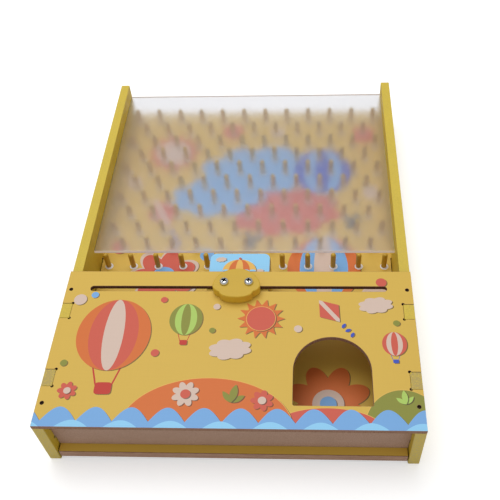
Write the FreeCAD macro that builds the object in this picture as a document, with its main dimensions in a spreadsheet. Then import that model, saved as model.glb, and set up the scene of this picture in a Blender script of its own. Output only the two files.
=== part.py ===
import FreeCAD
import Part
import Sketcher
import os

# Bagatelle drop board, lying on the rear edges of its side walls.
#
# Two side walls carry everything between them: a back board with rows of wooden pegs, a short
# bottom board, a frosted cover sheet that sits in grooves, and a front panel nailed across the
# lower third. A catcher rides along a slot in the panel: a knob outside, a printed plate and a
# small cup inside, clamped on two sleeves that run in the slot.
#
# Each body is drawn in the corner frame (X from the left outer face, Y from the foot ends, Z from
# the rear edges, all in mm) and its Placement then moves it, so that the origin of the finished
# board is the middle of the plane that it lies on. +Y runs to the open top end, +Z to the player.

document = FreeCAD.newDocument("bagatelle")


# ---------------------------------------------------------------- dimensions

DRIVING = [
    ("case_width", 300, "over both side walls"),
    ("case_length", 420, "foot ends to the open top end"),
    ("wall_thickness", 9, "side walls"),
    ("wall_depth", 55, "side wall, rear edge to front edge"),
    ("wall_corner", 2, "rounded rear corner at the ends of a wall"),
    ("board_thickness", 9, "back board and bottom board"),
    ("board_inset", 4, "walls' rear edges to the back board"),
    ("board_end_gap", 1, "foot ends to the back board"),
    ("board_side_gap", 0.6, "back board to each wall"),
    ("bottom_recess", 8, "foot ends to the bottom board"),
    ("panel_length", 150, "front panel along Y"),
    ("panel_thickness", 4, "front panel"),
    ("tab_length", 15, "every finger tab"),
    ("panel_tab_spacing", 65, "between the two tabs of a wall"),
    ("board_tab_margin", 67.5, "first board tab from either end"),
    ("board_tab_count", 3, "board tabs in each wall"),
    ("relief_diameter", 3, "cutter reliefs at the corners of a mortise"),
    ("notch_relief_diameter", 2.4, "cutter reliefs at the corners of a panel notch"),
    ("joint_gap", 0.15, "round a tab in its mortise"),
    ("hand_gap", 40, "front panel to the cover sheet"),
    ("cover_thickness", 3, "cover sheet"),
    ("cover_drop", 16, "walls' front edges down to the cover sheet"),
    ("groove_depth", 3.5, "cover grooves"),
    ("groove_gap", 0.15, "cover sheet to each side of its groove"),
    ("groove_end_gap", 0.3, "cover sheet to the bottom of its groove"),
    ("peg_columns", 12, "pegs in a full row"),
    ("peg_rows", 11, "rows, full and short in turn"),
    ("peg_diameter", 5, "peg"),
    ("peg_seat", 6, "peg in its hole"),
    ("peg_tip_round", 2, "edge of a peg's tip"),
    ("peg_fit", 0.05, "peg to hole, on radius"),
    ("peg_side_margin", 7.9, "outer peg's axis to the wall"),
    ("lowest_row_setback", 3, "cover's lower edge to the lowest row"),
    ("top_row_margin", 16, "top row to the open end"),
    ("peg_cover_gap", 5, "peg tips to the cover sheet"),
    ("slide_gap", 0.25, "sleeve to each side of the slot"),
    ("slot_from_top", 19, "slot line to the panel's top edge"),
    ("slot_end_gap", 2, "sleeve to the slot's end at full travel"),
    ("travel_gap", 0.5, "catcher plate to the wall at full travel"),
    ("arch_width", 62, "ball opening"),
    ("arch_side_margin", 38.5, "ball opening to the panel's right edge"),
    ("arch_sill", 20, "panel's bottom edge to the opening"),
    ("arch_rise", 31, "straight sides of the opening"),
    ("arch_corner", 1.5, "lower corners of the opening"),
    ("nail_margin", 20, "nail to the panel's top or bottom edge"),
    ("nail_head_gap", 0.1, "nail head to its hole in the panel, on radius"),
    ("nail_shank_diameter", 2, "nail"),
    ("nail_fit", 0.05, "nail to its pilot hole, on radius"),
    ("nail_head_diameter", 3, "nail"),
    ("nail_head_height", 0.8, "nail"),
    ("nail_length", 18, "nail under its head"),
    ("nail_sunk", 1.5, "nail head below the panel's face"),
    ("running_gap", 0.3, "knob and plate to the panel"),
    ("plate_width", 54, "catcher plate"),
    ("plate_thickness", 3, "catcher plate"),
    ("plate_above", 43, "catcher plate above the slot line"),
    ("plate_below", 12, "catcher plate below the slot line"),
    ("plate_corner", 6, "upper corners of the catcher plate"),
    ("cup_wall", 4, "cheeks and floor of the catch cup"),
    ("cup_floor_offset", 8, "slot line to the cup's floor"),
    ("cup_lip_setback", 2, "plate's upper edge to the cheeks' ends"),
    ("cup_board_gap", 0.6, "cup to the back board"),
    ("knob_thickness", 9, "knob"),
    ("knob_half_width", 20.3, "knob at its widest line"),
    ("knob_dome_height", 18.6, "widest line to the top of the dome"),
    ("knob_belly_depth", 8.8, "widest line to the bottom of the belly"),
    ("knob_widest_drop", 3.5, "slot line down to the widest line"),
    ("knob_lobe_half_width", 14.2, "lower lobe"),
    ("knob_lobe_depth", 5.6, "lower lobe"),
    ("knob_lobe_drop", 10, "slot line down to the lower lobe"),
    ("screw_spacing", 21, "between the two knob screws"),
    ("screw_diameter", 4, "shank"),
    ("screw_head_diameter", 7.8, "pan head"),
    ("screw_head_height", 3.1, "pan head"),
    ("screw_clearance", 0.2, "shank to the holes in wood, on radius"),
    ("thread_clearance", 0.05, "shank to sleeve, washer and nut, on radius"),
    ("screw_head_round", 1.5, "edge of the pan head"),
    ("screw_end", 1.5, "shank past the nut"),
    ("recess_width", 1.2, "one arm of the cross recess"),
    ("recess_length", 4.4, "across the cross recess"),
    ("recess_depth", 2, "cross recess"),
    ("sleeve_wall", 0.45, "slide sleeve"),
    ("washer_diameter", 9, "under the nut"),
    ("washer_thickness", 0.8, "under the nut"),
    ("nut_width", 7, "across flats"),
    ("nut_height", 3.2, "nut"),
]

# Sizes that follow from the driving ones. Each is worked out once, here, and read by name.
DERIVED = [
    ("inner_width", "dims.case_width - 2 * dims.wall_thickness"),
    ("board_face", "dims.board_inset + dims.board_thickness"),
    ("panel_rear", "dims.wall_depth"),
    ("panel_face", "dims.wall_depth + dims.panel_thickness"),
    ("panel_tab_start", "(dims.panel_length - dims.panel_tab_spacing - dims.tab_length) / 2"),
    ("board_tab_start", "dims.board_tab_margin - dims.tab_length / 2"),
    ("board_tab_span", "dims.case_length - 2 * dims.board_tab_margin"),
    ("bottom_depth", "dims.wall_depth - board_face"),
    ("bottom_tab_start", "board_face + (bottom_depth - dims.tab_length) / 2"),
    ("cover_face", "dims.wall_depth - dims.cover_drop"),
    ("cover_rear", "cover_face - dims.cover_thickness"),
    ("cover_start", "dims.panel_length + dims.hand_gap"),
    ("cover_insert", "dims.groove_depth - dims.groove_end_gap"),
    ("peg_pitch", "(inner_width - 2 * dims.peg_side_margin) / (dims.peg_columns - 1)"),
    ("lowest_row", "cover_start + dims.lowest_row_setback"),
    ("row_pitch", "(dims.case_length - dims.top_row_margin - lowest_row) / (dims.peg_rows - 1)"),
    ("full_rows", "ceil(dims.peg_rows / 2)"),
    ("short_rows", "floor(dims.peg_rows / 2)"),
    ("first_column", "dims.wall_thickness + dims.peg_side_margin"),
    ("peg_height", "cover_rear - board_face - dims.peg_cover_gap"),
    ("middle", "dims.case_width / 2"),
    ("slot_line", "dims.panel_length - dims.slot_from_top"),
    ("catcher_travel", "inner_width / 2 - dims.plate_width / 2 - dims.travel_gap"),
    ("screw_bore", "dims.screw_diameter + 2 * dims.thread_clearance"),
    ("sleeve_diameter", "screw_bore + 2 * dims.sleeve_wall"),
    ("slot_height", "sleeve_diameter + 2 * dims.slide_gap"),
    ("slot_length", "2 * catcher_travel + dims.screw_spacing + sleeve_diameter + 2 * dims.slot_end_gap"),
    ("arch_left", "dims.case_width - dims.arch_side_margin - dims.arch_width"),
    ("nail_hole_diameter", "dims.nail_head_diameter + 2 * dims.nail_head_gap"),
    ("nail_tip", "panel_face - dims.nail_sunk - dims.nail_head_height - dims.nail_length"),
    ("plate_face", "panel_rear - dims.running_gap"),
    ("plate_rear", "plate_face - dims.plate_thickness"),
    ("cup_rear", "board_face + dims.cup_board_gap"),
    ("cup_depth", "plate_rear - cup_rear"),
    ("cup_start", "slot_line + dims.cup_floor_offset"),
    ("cup_length", "dims.plate_above - dims.cup_lip_setback - dims.cup_floor_offset"),
    ("knob_rear", "panel_face + dims.running_gap"),
    ("knob_face", "knob_rear + dims.knob_thickness"),
    ("sleeve_length", "dims.panel_thickness + 2 * dims.running_gap"),
    ("washer_rear", "plate_rear - dims.washer_thickness"),
    ("nut_rear", "washer_rear - dims.nut_height"),
    ("screw_tip", "nut_rear - dims.screw_end"),
]


def fill_sheet(name, rows):
    """A spreadsheet with one aliased cell for each (alias, content, note) row."""
    new_sheet = document.addObject("Spreadsheet::Sheet", name)
    for index, (alias, content, note) in enumerate(rows, start=1):
        new_sheet.set("A%d" % index, alias)
        new_sheet.set("B%d" % index, content)
        new_sheet.set("C%d" % index, note)
        new_sheet.setAlias("B%d" % index, alias)
    document.recompute()
    return new_sheet


dims = fill_sheet("dims", [(alias, str(number), note) for alias, number, note in DRIVING])
fits = fill_sheet("fits", [(alias, "=" + formula, "") for alias, formula in DERIVED])


def size(formula):
    """The number that a formula of sheet values gives now."""
    return float(fits.evalExpression(formula))


# ---------------------------------------------------------------- drawing helpers

PARTS = []


def place(item):
    """Names a sub-part and moves it from the corner frame to the board's own frame."""
    item.setExpression(".Placement.Base.x", "-dims.case_width / 2")
    item.setExpression(".Placement.Base.y", "-dims.case_length / 2")
    item.Label = item.Name
    PARTS.append(item)
    return item


def new_body(name):
    """A PartDesign body that becomes one sub-part; several loose solids are allowed in it."""
    body = document.addObject("PartDesign::Body", name)
    body.AllowCompound = True
    return place(body)


def origin_feature(body, role):
    """One of the body's own origin planes or axes."""
    return next(item for item in body.Origin.OriginFeatures if item.Role == role)


def new_sketch(body, name, plane="XY_Plane", offset="0"):
    """A sketch on one of the body's origin planes, set off along the plane's normal."""
    sketch = body.newObject("Sketcher::SketchObject", body.Name + "_" + name)
    sketch.AttachmentSupport = [(origin_feature(body, plane), "")]
    sketch.MapMode = "FlatFace"
    sketch.setExpression("AttachmentOffset.Base.z", offset)
    return sketch


def total(*formulas):
    """The sum of several formulas, as one formula."""
    return " + ".join("(%s)" % formula for formula in formulas)


def drive(sketch, kind, formula, *points):
    """A dimension of the sketch that follows a formula of sheet values."""
    index = sketch.addConstraint(Sketcher.Constraint(kind, *points, size(formula)))
    sketch.setExpression("Constraints[%d]" % index, formula)


def pin(sketch, geometry, vertex, across, up):
    """Fixes a point of the sketch at (across, up) from the sketch's origin."""
    drive(sketch, "DistanceX", across, -1, 1, geometry, vertex)
    drive(sketch, "DistanceY", up, -1, 1, geometry, vertex)


def chain(sketch, pieces, points):
    """Joins pieces of an outline end to end and pins the start of each at its point."""
    ids = [sketch.addGeometry(piece, False) for piece in pieces]
    for position, (across, up) in enumerate(points):
        following = ids[(position + 1) % len(ids)]
        sketch.addConstraint(Sketcher.Constraint("Coincident", ids[position], 2, following, 1))
        pin(sketch, ids[position], 1, across, up)
    return ids


def polygon(sketch, points):
    """A closed outline of straight lines through (across, up) formula pairs."""
    spots = [FreeCAD.Vector(size(across), size(up), 0) for across, up in points]
    lines = [Part.LineSegment(spot, spots[(i + 1) % len(spots)]) for i, spot in enumerate(spots)]
    chain(sketch, lines, points)


def rectangle(sketch, left, low, wide, high):
    """A rectangle with its low corner at (left, low)."""
    right = total(left, wide)
    top = total(low, high)
    polygon(sketch, [(left, low), (right, low), (right, top), (left, top)])


def circle(sketch, across, up, diameter):
    """A circle with its centre at (across, up)."""
    centre = FreeCAD.Vector(size(across), size(up), 0)
    round_line = Part.Circle(centre, FreeCAD.Vector(0, 0, 1), size(diameter) / 2)
    index = sketch.addGeometry(round_line, False)
    pin(sketch, index, 3, across, up)
    drive(sketch, "Diameter", diameter, index)


def arc_over(start, top, end):
    """The arc through three (across, up) formula pairs."""
    spots = [FreeCAD.Vector(size(across), size(up), 0) for across, up in (start, top, end)]
    return Part.Arc(*spots)


def straight(start, end):
    """The line between two (across, up) formula pairs."""
    return Part.LineSegment(*[FreeCAD.Vector(size(across), size(up), 0) for across, up in (start, end)])


def obround(sketch, left, middle, long, high):
    """A slot with round ends along the sketch's X axis; left is its leftmost point."""
    half = "(%s) / 2" % high
    first, last = total(left, half), total(left, long, "-" + half)
    low, top = total(middle, "-" + half), total(middle, half)
    corners = [(first, low), (last, low), (last, top), (first, top)]
    right_end = arc_over(corners[1], (total(left, long), middle), corners[2])
    left_end = arc_over(corners[3], (left, middle), corners[0])
    sides = [straight(corners[0], corners[1]), right_end, straight(corners[2], corners[3]), left_end]
    ids = chain(sketch, sides, corners)
    drive(sketch, "DistanceX", last, -1, 1, ids[1], 3)
    drive(sketch, "DistanceX", first, -1, 1, ids[3], 3)


def finish(body, feature):
    """Recomputes, and makes the feature the body's result."""
    body.Tip = feature
    document.recompute()
    return feature


def pad(body, sketch, length):
    """Adds the sketch's outline to the body, along the sketch's normal."""
    feature = body.newObject("PartDesign::Pad", sketch.Name + "_pad")
    feature.Profile = sketch
    feature.setExpression("Length", length)
    return finish(body, feature)


def pocket(body, sketch, depth, forward=False):
    """Cuts the sketch's outline, against its normal or forward along it, and checks the volume."""
    before = body.Shape.Volume
    feature = body.newObject("PartDesign::Pocket", sketch.Name + "_pocket")
    feature.Profile = sketch
    feature.setExpression("Length", depth)
    feature.Reversed = forward
    finish(body, feature)
    if not body.Shape.Volume < before:
        raise RuntimeError(feature.Name + " cuts nothing")
    return feature


def fillet(body, radius, chosen):
    """Rounds each edge of the body whose bounding box passes the test."""
    base = body.Tip
    names = ["Edge%d" % (i + 1) for i, edge in enumerate(base.Shape.Edges) if chosen(edge.BoundBox)]
    feature = body.newObject("PartDesign::Fillet", body.Name + "_fillet")
    feature.Base = (base, names)
    feature.setExpression("Radius", radius)
    return finish(body, feature)


def repeat(body, originals, *runs):
    """Repeats features, or the whole body if there are none, along one or two origin axes."""
    pattern = body.newObject("PartDesign::LinearPattern", body.Tip.Name + "_row")
    if originals:
        pattern.Originals = originals
    else:
        pattern.TransformMode = "Whole shape"
    for suffix, (axis, length, count) in zip(("", "2"), runs):
        setattr(pattern, "Direction" + suffix, (origin_feature(body, axis), [""]))
        pattern.setExpression("Length" + suffix, length)
        pattern.setExpression("Occurrences" + suffix, count)
    return finish(body, pattern)


def slab(name, left, low, wide, high, rear, thickness):
    """A body that is a plain rectangular board, flat in the XY plane."""
    body = new_body(name)
    outline = new_sketch(body, "outline", offset=rear)
    rectangle(outline, left, low, wide, high)
    pad(body, outline, thickness)
    return body


def near(first, second):
    """True for two lengths that are the same but for rounding."""
    return abs(first - second) < 1e-4


# ---------------------------------------------------------------- the case

def relieved_mortise(body, name, left, corner, spans):
    """A mortise through a side wall, with the cutter's round reliefs at its four corners."""
    low, base = corner
    wide, high = spans
    hole = new_sketch(body, name, "YZ_Plane", left)
    rectangle(hole, low, base, wide, high)
    cut = pocket(body, hole, "dims.wall_thickness", forward=True)
    reliefs = new_sketch(body, name + "_reliefs", "YZ_Plane", left)
    for across in (low, total(low, wide)):
        for up in (base, total(base, high)):
            circle(reliefs, across, up, "dims.relief_diameter")
    return [cut, pocket(body, reliefs, "dims.wall_thickness", forward=True)]


def side_wall(name, left, groove_plane, groove_forward):
    """A side wall: front tabs, through mortises for both boards, and the cover's groove."""
    body = new_body(name)
    outline = new_sketch(body, "outline", "YZ_Plane", left)
    rectangle(outline, "0", "0", "dims.case_length", "dims.wall_depth")
    pad(body, outline, "dims.wall_thickness")
    fillet(body, "dims.wall_corner",
           lambda box: near(box.ZMax, 0) and near(box.YLength, 0))

    tab = new_sketch(body, "tab", "YZ_Plane", left)
    rectangle(tab, "fits.panel_tab_start", "dims.wall_depth", "dims.tab_length", "dims.panel_thickness")
    first_tab = pad(body, tab, "dims.wall_thickness")
    repeat(body, [first_tab], ("Y_Axis", "dims.panel_tab_spacing", "2"))

    snug_tab = "dims.tab_length + 2 * dims.joint_gap"
    snug_board = "dims.board_thickness + 2 * dims.joint_gap"
    relieved_mortise(
        body, "bottom_mortise", left,
        ("dims.bottom_recess - dims.joint_gap", "fits.bottom_tab_start - dims.joint_gap"),
        (snug_board, snug_tab))
    board_cuts = relieved_mortise(
        body, "board_mortise", left,
        ("fits.board_tab_start - dims.joint_gap", "dims.board_inset - dims.joint_gap"),
        (snug_tab, snug_board))
    repeat(body, board_cuts, ("Y_Axis", "fits.board_tab_span", "dims.board_tab_count"))

    groove = new_sketch(body, "groove", "YZ_Plane", groove_plane)
    rectangle(groove, "fits.cover_start - dims.groove_end_gap", "fits.cover_rear - dims.groove_gap",
              "dims.case_length - fits.cover_start + dims.groove_end_gap",
              "dims.cover_thickness + 2 * dims.groove_gap")
    pocket(body, groove, "dims.groove_depth", groove_forward)

    pilots = new_sketch(body, "pilots", offset="dims.wall_depth")
    for up in ("dims.nail_margin", "dims.panel_length - dims.nail_margin"):
        circle(pilots, total(left, "dims.wall_thickness / 2"), up,
               "dims.nail_shank_diameter + 2 * dims.nail_fit")
    pocket(body, pilots, "dims.wall_depth - fits.nail_tip")


def back_board():
    """The play board: tabs into both walls and a blind hole for every peg."""
    body = slab("back_board", "dims.wall_thickness + dims.board_side_gap", "dims.board_end_gap",
                "fits.inner_width - 2 * dims.board_side_gap", "dims.case_length - dims.board_end_gap",
                "dims.board_inset", "dims.board_thickness")
    tabs = new_sketch(body, "tabs", offset="dims.board_inset")
    rectangle(tabs, "0", "fits.board_tab_start", "dims.case_width", "dims.tab_length")
    first_bar = pad(body, tabs, "dims.board_thickness")
    repeat(body, [first_bar], ("Y_Axis", "fits.board_tab_span", "dims.board_tab_count"))
    for name, shift, rows in (("full", "0", "fits.full_rows"), ("short", "1", "fits.short_rows")):
        hole = new_sketch(body, name + "_row_hole", offset="fits.board_face")
        circle(hole, "fits.first_column + fits.peg_pitch / 2 * " + shift,
               "fits.lowest_row + fits.row_pitch * " + shift,
               "dims.peg_diameter + 2 * dims.peg_fit")
        first_hole = pocket(body, hole, "dims.peg_seat")
        repeat(body, [first_hole],
               ("X_Axis", "fits.peg_pitch * (dims.peg_columns - 1 - %s)" % shift,
                "dims.peg_columns - " + shift),
               ("Y_Axis", "2 * fits.row_pitch * (%s - 1)" % rows, rows))


def bottom_board():
    """The floor of the ball tray, set back from the foot ends, with one tab into each wall."""
    body = slab("bottom_board", "dims.wall_thickness + dims.joint_gap", "dims.bottom_recess",
                "fits.inner_width - 2 * dims.joint_gap", "dims.board_thickness",
                "fits.board_face", "fits.bottom_depth")
    tabs = new_sketch(body, "tabs", offset="fits.bottom_tab_start")
    rectangle(tabs, "0", "dims.bottom_recess", "dims.case_width", "dims.board_thickness")
    pad(body, tabs, "dims.tab_length")


def front_panel():
    """The front panel: notches for the walls' tabs, the catcher's slot, the ball opening."""
    body = slab("front_panel", "0", "0", "dims.case_width", "dims.panel_length",
                "fits.panel_rear", "dims.panel_thickness")
    top = "fits.panel_face"
    depth = "dims.panel_thickness"
    notch_wide = "dims.wall_thickness + dims.joint_gap"
    notch_low = "fits.panel_tab_start - dims.joint_gap"
    notch_high = "dims.tab_length + 2 * dims.joint_gap"
    inner_corners = (notch_wide, "dims.case_width - (%s)" % notch_wide)
    notches = new_sketch(body, "notches", offset=top)
    for left in ("0", inner_corners[1]):
        rectangle(notches, left, notch_low, notch_wide, notch_high)
    cut = pocket(body, notches, depth)
    reliefs = new_sketch(body, "notch_reliefs", offset=top)
    for across in inner_corners:
        for up in (notch_low, total(notch_low, notch_high)):
            circle(reliefs, across, up, "dims.notch_relief_diameter")
    relief_cut = pocket(body, reliefs, depth)
    repeat(body, [cut, relief_cut], ("Y_Axis", "dims.panel_tab_spacing", "2"))

    slot = new_sketch(body, "slot", offset=top)
    obround(slot, "fits.middle - fits.slot_length / 2", "fits.slot_line", "fits.slot_length",
            "fits.slot_height")
    pocket(body, slot, depth)

    arch = new_sketch(body, "arch", offset=top)
    right = "fits.arch_left + dims.arch_width"
    spring = "dims.arch_sill + dims.arch_rise"
    corners = [("fits.arch_left", "dims.arch_sill"), (right, "dims.arch_sill"), (right, spring),
               ("fits.arch_left", spring)]
    crown = ("fits.arch_left + dims.arch_width / 2", spring + " + dims.arch_width / 2")
    pieces = [straight(corners[0], corners[1]), straight(corners[1], corners[2]),
              arc_over(corners[2], crown, corners[3]), straight(corners[3], corners[0])]
    ids = chain(arch, pieces, corners)
    drive(arch, "DistanceY", spring, -1, 1, ids[2], 3)
    pocket(body, arch, depth)
    fillet(body, "dims.arch_corner",
           lambda box: near(box.YLength + box.XLength, 0) and near(box.YMax, size("dims.arch_sill")))

    nail_holes = new_sketch(body, "nail_holes", offset=top)
    for across in ("dims.wall_thickness / 2", "dims.case_width - dims.wall_thickness / 2"):
        for up in ("dims.nail_margin", "dims.panel_length - dims.nail_margin"):
            circle(nail_holes, across, up, "fits.nail_hole_diameter")
    pocket(body, nail_holes, depth)


def cover_sheet():
    """The frosted sheet over the pegs, pushed into the walls' grooves from the open end."""
    slab("cover_sheet", "dims.wall_thickness - fits.cover_insert", "fits.cover_start",
         "fits.inner_width + 2 * fits.cover_insert", "dims.case_length - fits.cover_start",
         "fits.cover_rear", "dims.cover_thickness")


def peg_row(index):
    """One row of pegs, counted from the panel; every second row is a peg shorter."""
    shift = index % 2
    body = new_body("peg_row_%02d" % (index + 1))
    section = new_sketch(body, "section", offset="fits.board_face - dims.peg_seat")
    circle(section, "fits.first_column + fits.peg_pitch * %s" % (shift / 2),
           "fits.lowest_row + fits.row_pitch * %d" % index, "dims.peg_diameter")
    pad(body, section, "dims.peg_seat + fits.peg_height")
    fillet(body, "dims.peg_tip_round",
           lambda box: near(box.ZMin, size("fits.board_face + fits.peg_height")))
    repeat(body, [], ("X_Axis", "fits.peg_pitch * (dims.peg_columns - 1 - %d)" % shift,
                      "dims.peg_columns - %d" % shift))


def panel_nails():
    """The four nails that hold the panel to the walls, sunk below its face."""
    body = new_body("panel_nails")
    for name, rear, height, diameter in (
            ("shank", "fits.nail_tip", "dims.nail_length", "dims.nail_shank_diameter"),
            ("head", "fits.nail_tip + dims.nail_length", "dims.nail_head_height", "dims.nail_head_diameter")):
        section = new_sketch(body, name, offset=rear)
        circle(section, "dims.wall_thickness / 2", "dims.nail_margin", diameter)
        pad(body, section, height)
    repeat(body, [], ("X_Axis", "dims.case_width - dims.wall_thickness", "2"),
           ("Y_Axis", "dims.panel_length - 2 * dims.nail_margin", "2"))


# ---------------------------------------------------------------- the catcher

def elliptic_block(name, half_width, half_height, drop):
    """An elliptic block as thick as the knob, its centre below the slot line by drop."""
    rim = document.addObject("Part::Ellipse", name + "_rim")
    rim.setExpression("MajorRadius", half_width)
    rim.setExpression("MinorRadius", half_height)
    rim.setExpression(".Placement.Base.x", "fits.middle")
    rim.setExpression(".Placement.Base.y", "fits.slot_line - " + drop)
    rim.setExpression(".Placement.Base.z", "fits.knob_rear")
    block = document.addObject("Part::Extrusion", name)
    block.Base = rim
    block.DirMode = "Normal"
    block.setExpression("LengthFwd", "dims.knob_thickness")
    block.Solid = True
    return block


def half_block(name, whole, half_width, reach, low):
    """The part of an elliptic block that lies in a band of the knob, from low up by reach."""
    band = document.addObject("Part::Box", name + "_band")
    band.setExpression("Length", "2 * " + half_width)
    band.setExpression("Width", reach)
    band.setExpression("Height", "dims.knob_thickness")
    band.setExpression(".Placement.Base.x", "fits.middle - " + half_width)
    band.setExpression(".Placement.Base.y", low)
    band.setExpression(".Placement.Base.z", "fits.knob_rear")
    piece = document.addObject("Part::Common", name)
    piece.Base = whole
    piece.Tool = band
    return piece


def knob():
    """The knob: a dome over a shallow belly, and a lobe below, with holes for its two screws."""
    wide = "dims.knob_half_width"
    widest = "fits.slot_line - dims.knob_widest_drop"
    whole_dome = elliptic_block("dome_blank", wide, "dims.knob_dome_height", "dims.knob_widest_drop")
    dome = half_block("dome", whole_dome, wide, "dims.knob_dome_height", widest)
    whole_belly = elliptic_block("belly_blank", wide, "dims.knob_belly_depth", "dims.knob_widest_drop")
    belly = half_block("belly", whole_belly, wide, "dims.knob_belly_depth",
                       widest + " - dims.knob_belly_depth")
    lobe = elliptic_block("lobe", "dims.knob_lobe_half_width", "dims.knob_lobe_depth",
                          "dims.knob_lobe_drop")
    blank = document.addObject("Part::MultiFuse", "knob_blank")
    blank.Shapes = [dome, belly, lobe]
    blank.Refine = True
    document.recompute()

    body = new_body("knob")
    body.BaseFeature = blank
    document.recompute()
    screw_holes(body, "fits.knob_face", "dims.knob_thickness")


def screw_holes(body, top, depth):
    """The two holes for the knob screws, cut from a top plane down."""
    holes = new_sketch(body, "screw_holes", offset=top)
    for side in ("-", "+"):
        circle(holes, "fits.middle %s dims.screw_spacing / 2" % side, "fits.slot_line",
               "dims.screw_diameter + 2 * dims.screw_clearance")
    pocket(body, holes, depth)


def screw_pair(body):
    """Repeats a body made for the left knob screw at the right one."""
    repeat(body, [], ("X_Axis", "dims.screw_spacing", "2"))


LEFT_SCREW = "fits.middle - dims.screw_spacing / 2"


def ring(name, rear, height, outside):
    """A pair of rings on the knob screws, such as the sleeves or the washers."""
    body = new_body(name)
    section = new_sketch(body, "section", offset=rear)
    circle(section, LEFT_SCREW, "fits.slot_line", outside)
    circle(section, LEFT_SCREW, "fits.slot_line", "fits.screw_bore")
    pad(body, section, height)
    screw_pair(body)


def knob_screws():
    """The two pan-head screws with a cross recess, from the knob's face to behind the nuts."""
    body = new_body("knob_screws")
    head = new_sketch(body, "head", offset="fits.knob_face")
    circle(head, LEFT_SCREW, "fits.slot_line", "dims.screw_head_diameter")
    pad(body, head, "dims.screw_head_height")
    head_top = "fits.knob_face + dims.screw_head_height"
    fillet(body, "dims.screw_head_round", lambda box: near(box.ZMin, size(head_top)))
    shank = new_sketch(body, "shank", offset="fits.screw_tip")
    circle(shank, LEFT_SCREW, "fits.slot_line", "dims.screw_diameter")
    pad(body, shank, "fits.knob_face - fits.screw_tip")
    for name, wide, high in (("across", "dims.recess_length", "dims.recess_width"),
                             ("upright", "dims.recess_width", "dims.recess_length")):
        arm = new_sketch(body, "recess_" + name, offset=head_top)
        rectangle(arm, "%s - %s / 2" % (LEFT_SCREW, wide), "fits.slot_line - %s / 2" % high, wide, high)
        pocket(body, arm, "dims.recess_depth")
    screw_pair(body)


def nuts():
    """The two hexagon nuts behind the catcher plate."""
    body = new_body("knob_nuts")
    section = new_sketch(body, "section", offset="fits.nut_rear")
    reach = "dims.nut_width / 2 / cos(30 deg)"
    polygon(section, [("%s + %s * cos(%d deg)" % (LEFT_SCREW, reach, turn),
                       "fits.slot_line + %s * sin(%d deg)" % (reach, turn))
                      for turn in range(0, 360, 60)])
    circle(section, LEFT_SCREW, "fits.slot_line", "fits.screw_bore")
    pad(body, section, "dims.nut_height")
    screw_pair(body)


def catcher_plate():
    """The printed plate behind the panel, with its upper corners rounded."""
    body = slab("catcher_plate", "fits.middle - dims.plate_width / 2",
                "fits.slot_line - dims.plate_below", "dims.plate_width",
                "dims.plate_above + dims.plate_below", "fits.plate_rear", "dims.plate_thickness")
    top = size("fits.slot_line + dims.plate_above")
    fillet(body, "dims.plate_corner",
           lambda box: near(box.XLength + box.YLength, 0) and near(box.YMin, top))
    screw_holes(body, "fits.plate_face", "dims.plate_thickness")


def catch_cup():
    """Two cheeks and a floor under the plate: they stop a ball that drops behind it."""
    left = "fits.middle - dims.plate_width / 2"
    slab("cup_cheek_left", left, "fits.cup_start", "dims.cup_wall", "fits.cup_length",
         "fits.cup_rear", "fits.cup_depth")
    slab("cup_cheek_right", left + " + dims.plate_width - dims.cup_wall", "fits.cup_start",
         "dims.cup_wall", "fits.cup_length", "fits.cup_rear", "fits.cup_depth")
    slab("cup_floor", left + " + dims.cup_wall", "fits.cup_start",
         "dims.plate_width - 2 * dims.cup_wall", "dims.cup_wall", "fits.cup_rear", "fits.cup_depth")


# ---------------------------------------------------------------- the whole board

def build_all():
    """Makes every sub-part."""
    side_wall("side_wall_left", "0", "dims.wall_thickness", False)
    right = "dims.case_width - dims.wall_thickness"
    side_wall("side_wall_right", right, right, True)
    back_board()
    bottom_board()
    front_panel()
    cover_sheet()
    for index in range(int(size("dims.peg_rows"))):
        peg_row(index)
    panel_nails()
    knob()
    knob_screws()
    ring("slide_sleeves", "fits.plate_face", "fits.sleeve_length", "fits.sleeve_diameter")
    ring("knob_washers", "fits.washer_rear", "dims.washer_thickness", "dims.washer_diameter")
    nuts()
    catcher_plate()
    catch_cup()


def check_all():
    """Stops if any object failed or any sub-part has no sound shape."""
    for item in document.Objects:
        if {"Invalid", "Error"} & set(item.State):
            raise RuntimeError("%s failed: %s" % (item.Name, item.State))
    for item in PARTS:
        if item.Shape.isNull() or not item.Shape.isValid():
            raise RuntimeError(item.Label + " has no valid shape")


def write_all():
    """Writes each sub-part to its own file."""
    os.makedirs("parts", exist_ok=True)
    for item in PARTS:
        item.Shape.exportStep("parts/%s.step" % item.Label)
        print("%-18s %3d solids %12.1f mm3" % (item.Label, len(item.Shape.Solids), item.Shape.Volume))


build_all()
document.recompute()
check_all()
write_all()
travel = size("fits.catcher_travel")
print("catcher travel: %.2f mm each way, slot length: %.2f mm" % (travel, size("fits.slot_length")))
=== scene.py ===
"""Looks of the drop board: a wooden case with a printed front panel, a frosted cover over rows
of pegs, and a catcher that slides along a slot. Lengths are millimetres from the case's lower
left rear corner unless a name says otherwise; Blender itself works in metres."""

import logging
import math
from collections.abc import Callable, Sequence
from dataclasses import dataclass, replace
from enum import Enum, auto

import bmesh
import bpy
from mathutils import Euler, Matrix, Vector


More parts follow.
